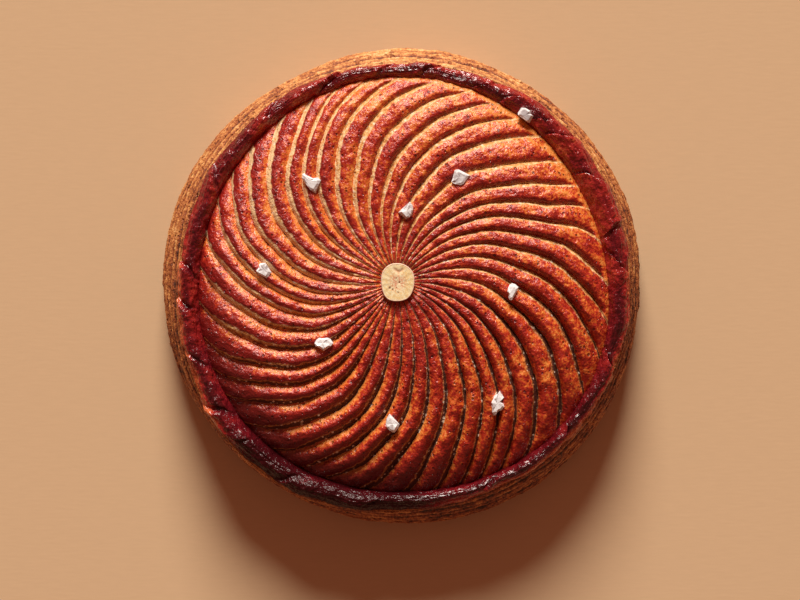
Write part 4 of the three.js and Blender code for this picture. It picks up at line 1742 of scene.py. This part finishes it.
@dataclass(frozen=True)
class Studio:
    """Plain pale floor, one large soft light, a weak warm surround, and the camera."""

    camera_height: float = 1.2
    camera_offset: Point = (-0.63 * MM, -5.88 * MM)
    level_of_scale: float = 13 * MM
    metres_per_pixel: float = 0.42 * MM
    picture_width: int = 800
    sensor_width: float = 36.0
    floor_size: float = 6.0
    light_distance: float = 9.0
    light_elevation_deg: float = 28
    light_turn_deg: float = 3
    light_spread_deg: float = 24
    light_power: float = 1225.0
    light_colour: Colour = (1.0, 0.93, 0.84)
    surround: Colour = (0.205, 0.080, 0.050)

    def build(self) -> None:
        """Set up the floor, the light, the surround and the camera."""
        self.add_floor()
        self.add_light()
        self.add_surround()
        self.add_camera()
        bpy.context.scene.view_settings.view_transform = "Standard"

    def add_floor(self) -> None:
        """Lay the floor under the cake."""
        half = self.floor_size / 2
        corners = [(-half, -half, 0), (half, -half, 0), (half, half, 0), (-half, half, 0)]
        floor = mesh_object("pale_floor", np.array(corners), [(0, 1, 2, 3)])
        floor.data.materials.append(PaperFloor().build())

    def add_light(self) -> None:
        """Hang the soft light behind the cake, low enough to rake over its grooves."""
        light = bpy.data.lights.new("soft_light", "AREA")
        light.shape = "DISK"
        light.size = 2 * self.light_distance * math.tan(math.radians(self.light_spread_deg / 2))
        light.energy = self.light_power
        light.color = self.light_colour
        elevation, turn = math.radians(self.light_elevation_deg), math.radians(self.light_turn_deg)
        towards = Vector((-math.sin(turn) * math.cos(elevation), math.cos(turn) * math.cos(elevation),
                          math.sin(elevation)))
        lamp = bpy.data.objects.new("soft_light", light)
        lamp.location = towards * self.light_distance
        lamp.rotation_euler = towards.to_track_quat("Z", "Y").to_euler()
        bpy.context.scene.collection.objects.link(lamp)

    def add_surround(self) -> None:
        """Fill the shade with weak warm light."""
        world = bpy.data.worlds.new("warm_surround")
        world.use_nodes = True
        background = world.node_tree.nodes["Background"]
        background.inputs["Color"].default_value = (*self.surround, 1)
        bpy.context.scene.world = world

    def add_camera(self) -> None:
        """Hang the camera straight above the cake."""
        camera = bpy.data.cameras.new("camera")
        camera.sensor_width = self.sensor_width
        width = self.picture_width * self.metres_per_pixel
        camera.lens = self.sensor_width * (self.camera_height - self.level_of_scale) / width
        holder = bpy.data.objects.new("camera", camera)
        holder.location = (*self.camera_offset, self.camera_height)
        bpy.context.scene.collection.objects.link(holder)
        bpy.context.scene.camera = holder


# ---- Assembly -------------------------------------------------------------------------


def place(piece: bpy.types.Object, slot: Slot, node: str) -> None:
    """Let a piece ride the cake's body and stand for its solid.

    Args:
        piece: The piece.
        slot: Its material slot. It is not used.
        node: The solid that it stands for.
    """
    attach(piece, Body.CAKE.value)
    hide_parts(node)
    LOG.info("%s: %d points", piece.name, len(piece.data.vertices))


def main() -> None:
    """Build and dress each piece in order."""
    logging.basicConfig(level=logging.INFO, format="%(message)s")
    groups = SurfaceGroups()
    nut_low, nut_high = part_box("hazelnut_slice")
    pole = (nut_low + nut_high) / 2
    cake_low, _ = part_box("galette")
    form = CakeForm(middle=pole - POLE_OFFSET, pole=pole, base_height=cake_low.z)

    glaze = GlazedCrust().build(groups)
    crust = ScoredCrust(form).build(glaze)
    rim = SealedRim(form).build(CaramelRim().build(groups))
    side = FlakySide(form).build(FlakyDough().build(groups))
    nut = HazelnutSlice().build(nut_low, nut_high, CutHazelnut().build(groups))
    salt = SaltCrystals().build(ground_of(crust, rim), form.middle, CoarseSalt().build(groups))
    place(crust, Slot.CRUST, "galette")
    place(rim, Slot.CRUST, "galette")
    place(side, Slot.SIDE, "galette")
    place(nut, Slot.NUT, "hazelnut_slice")
    place(salt, Slot.SALT, "galette")

    Studio().build()


if __name__ == "__main__":
    main()
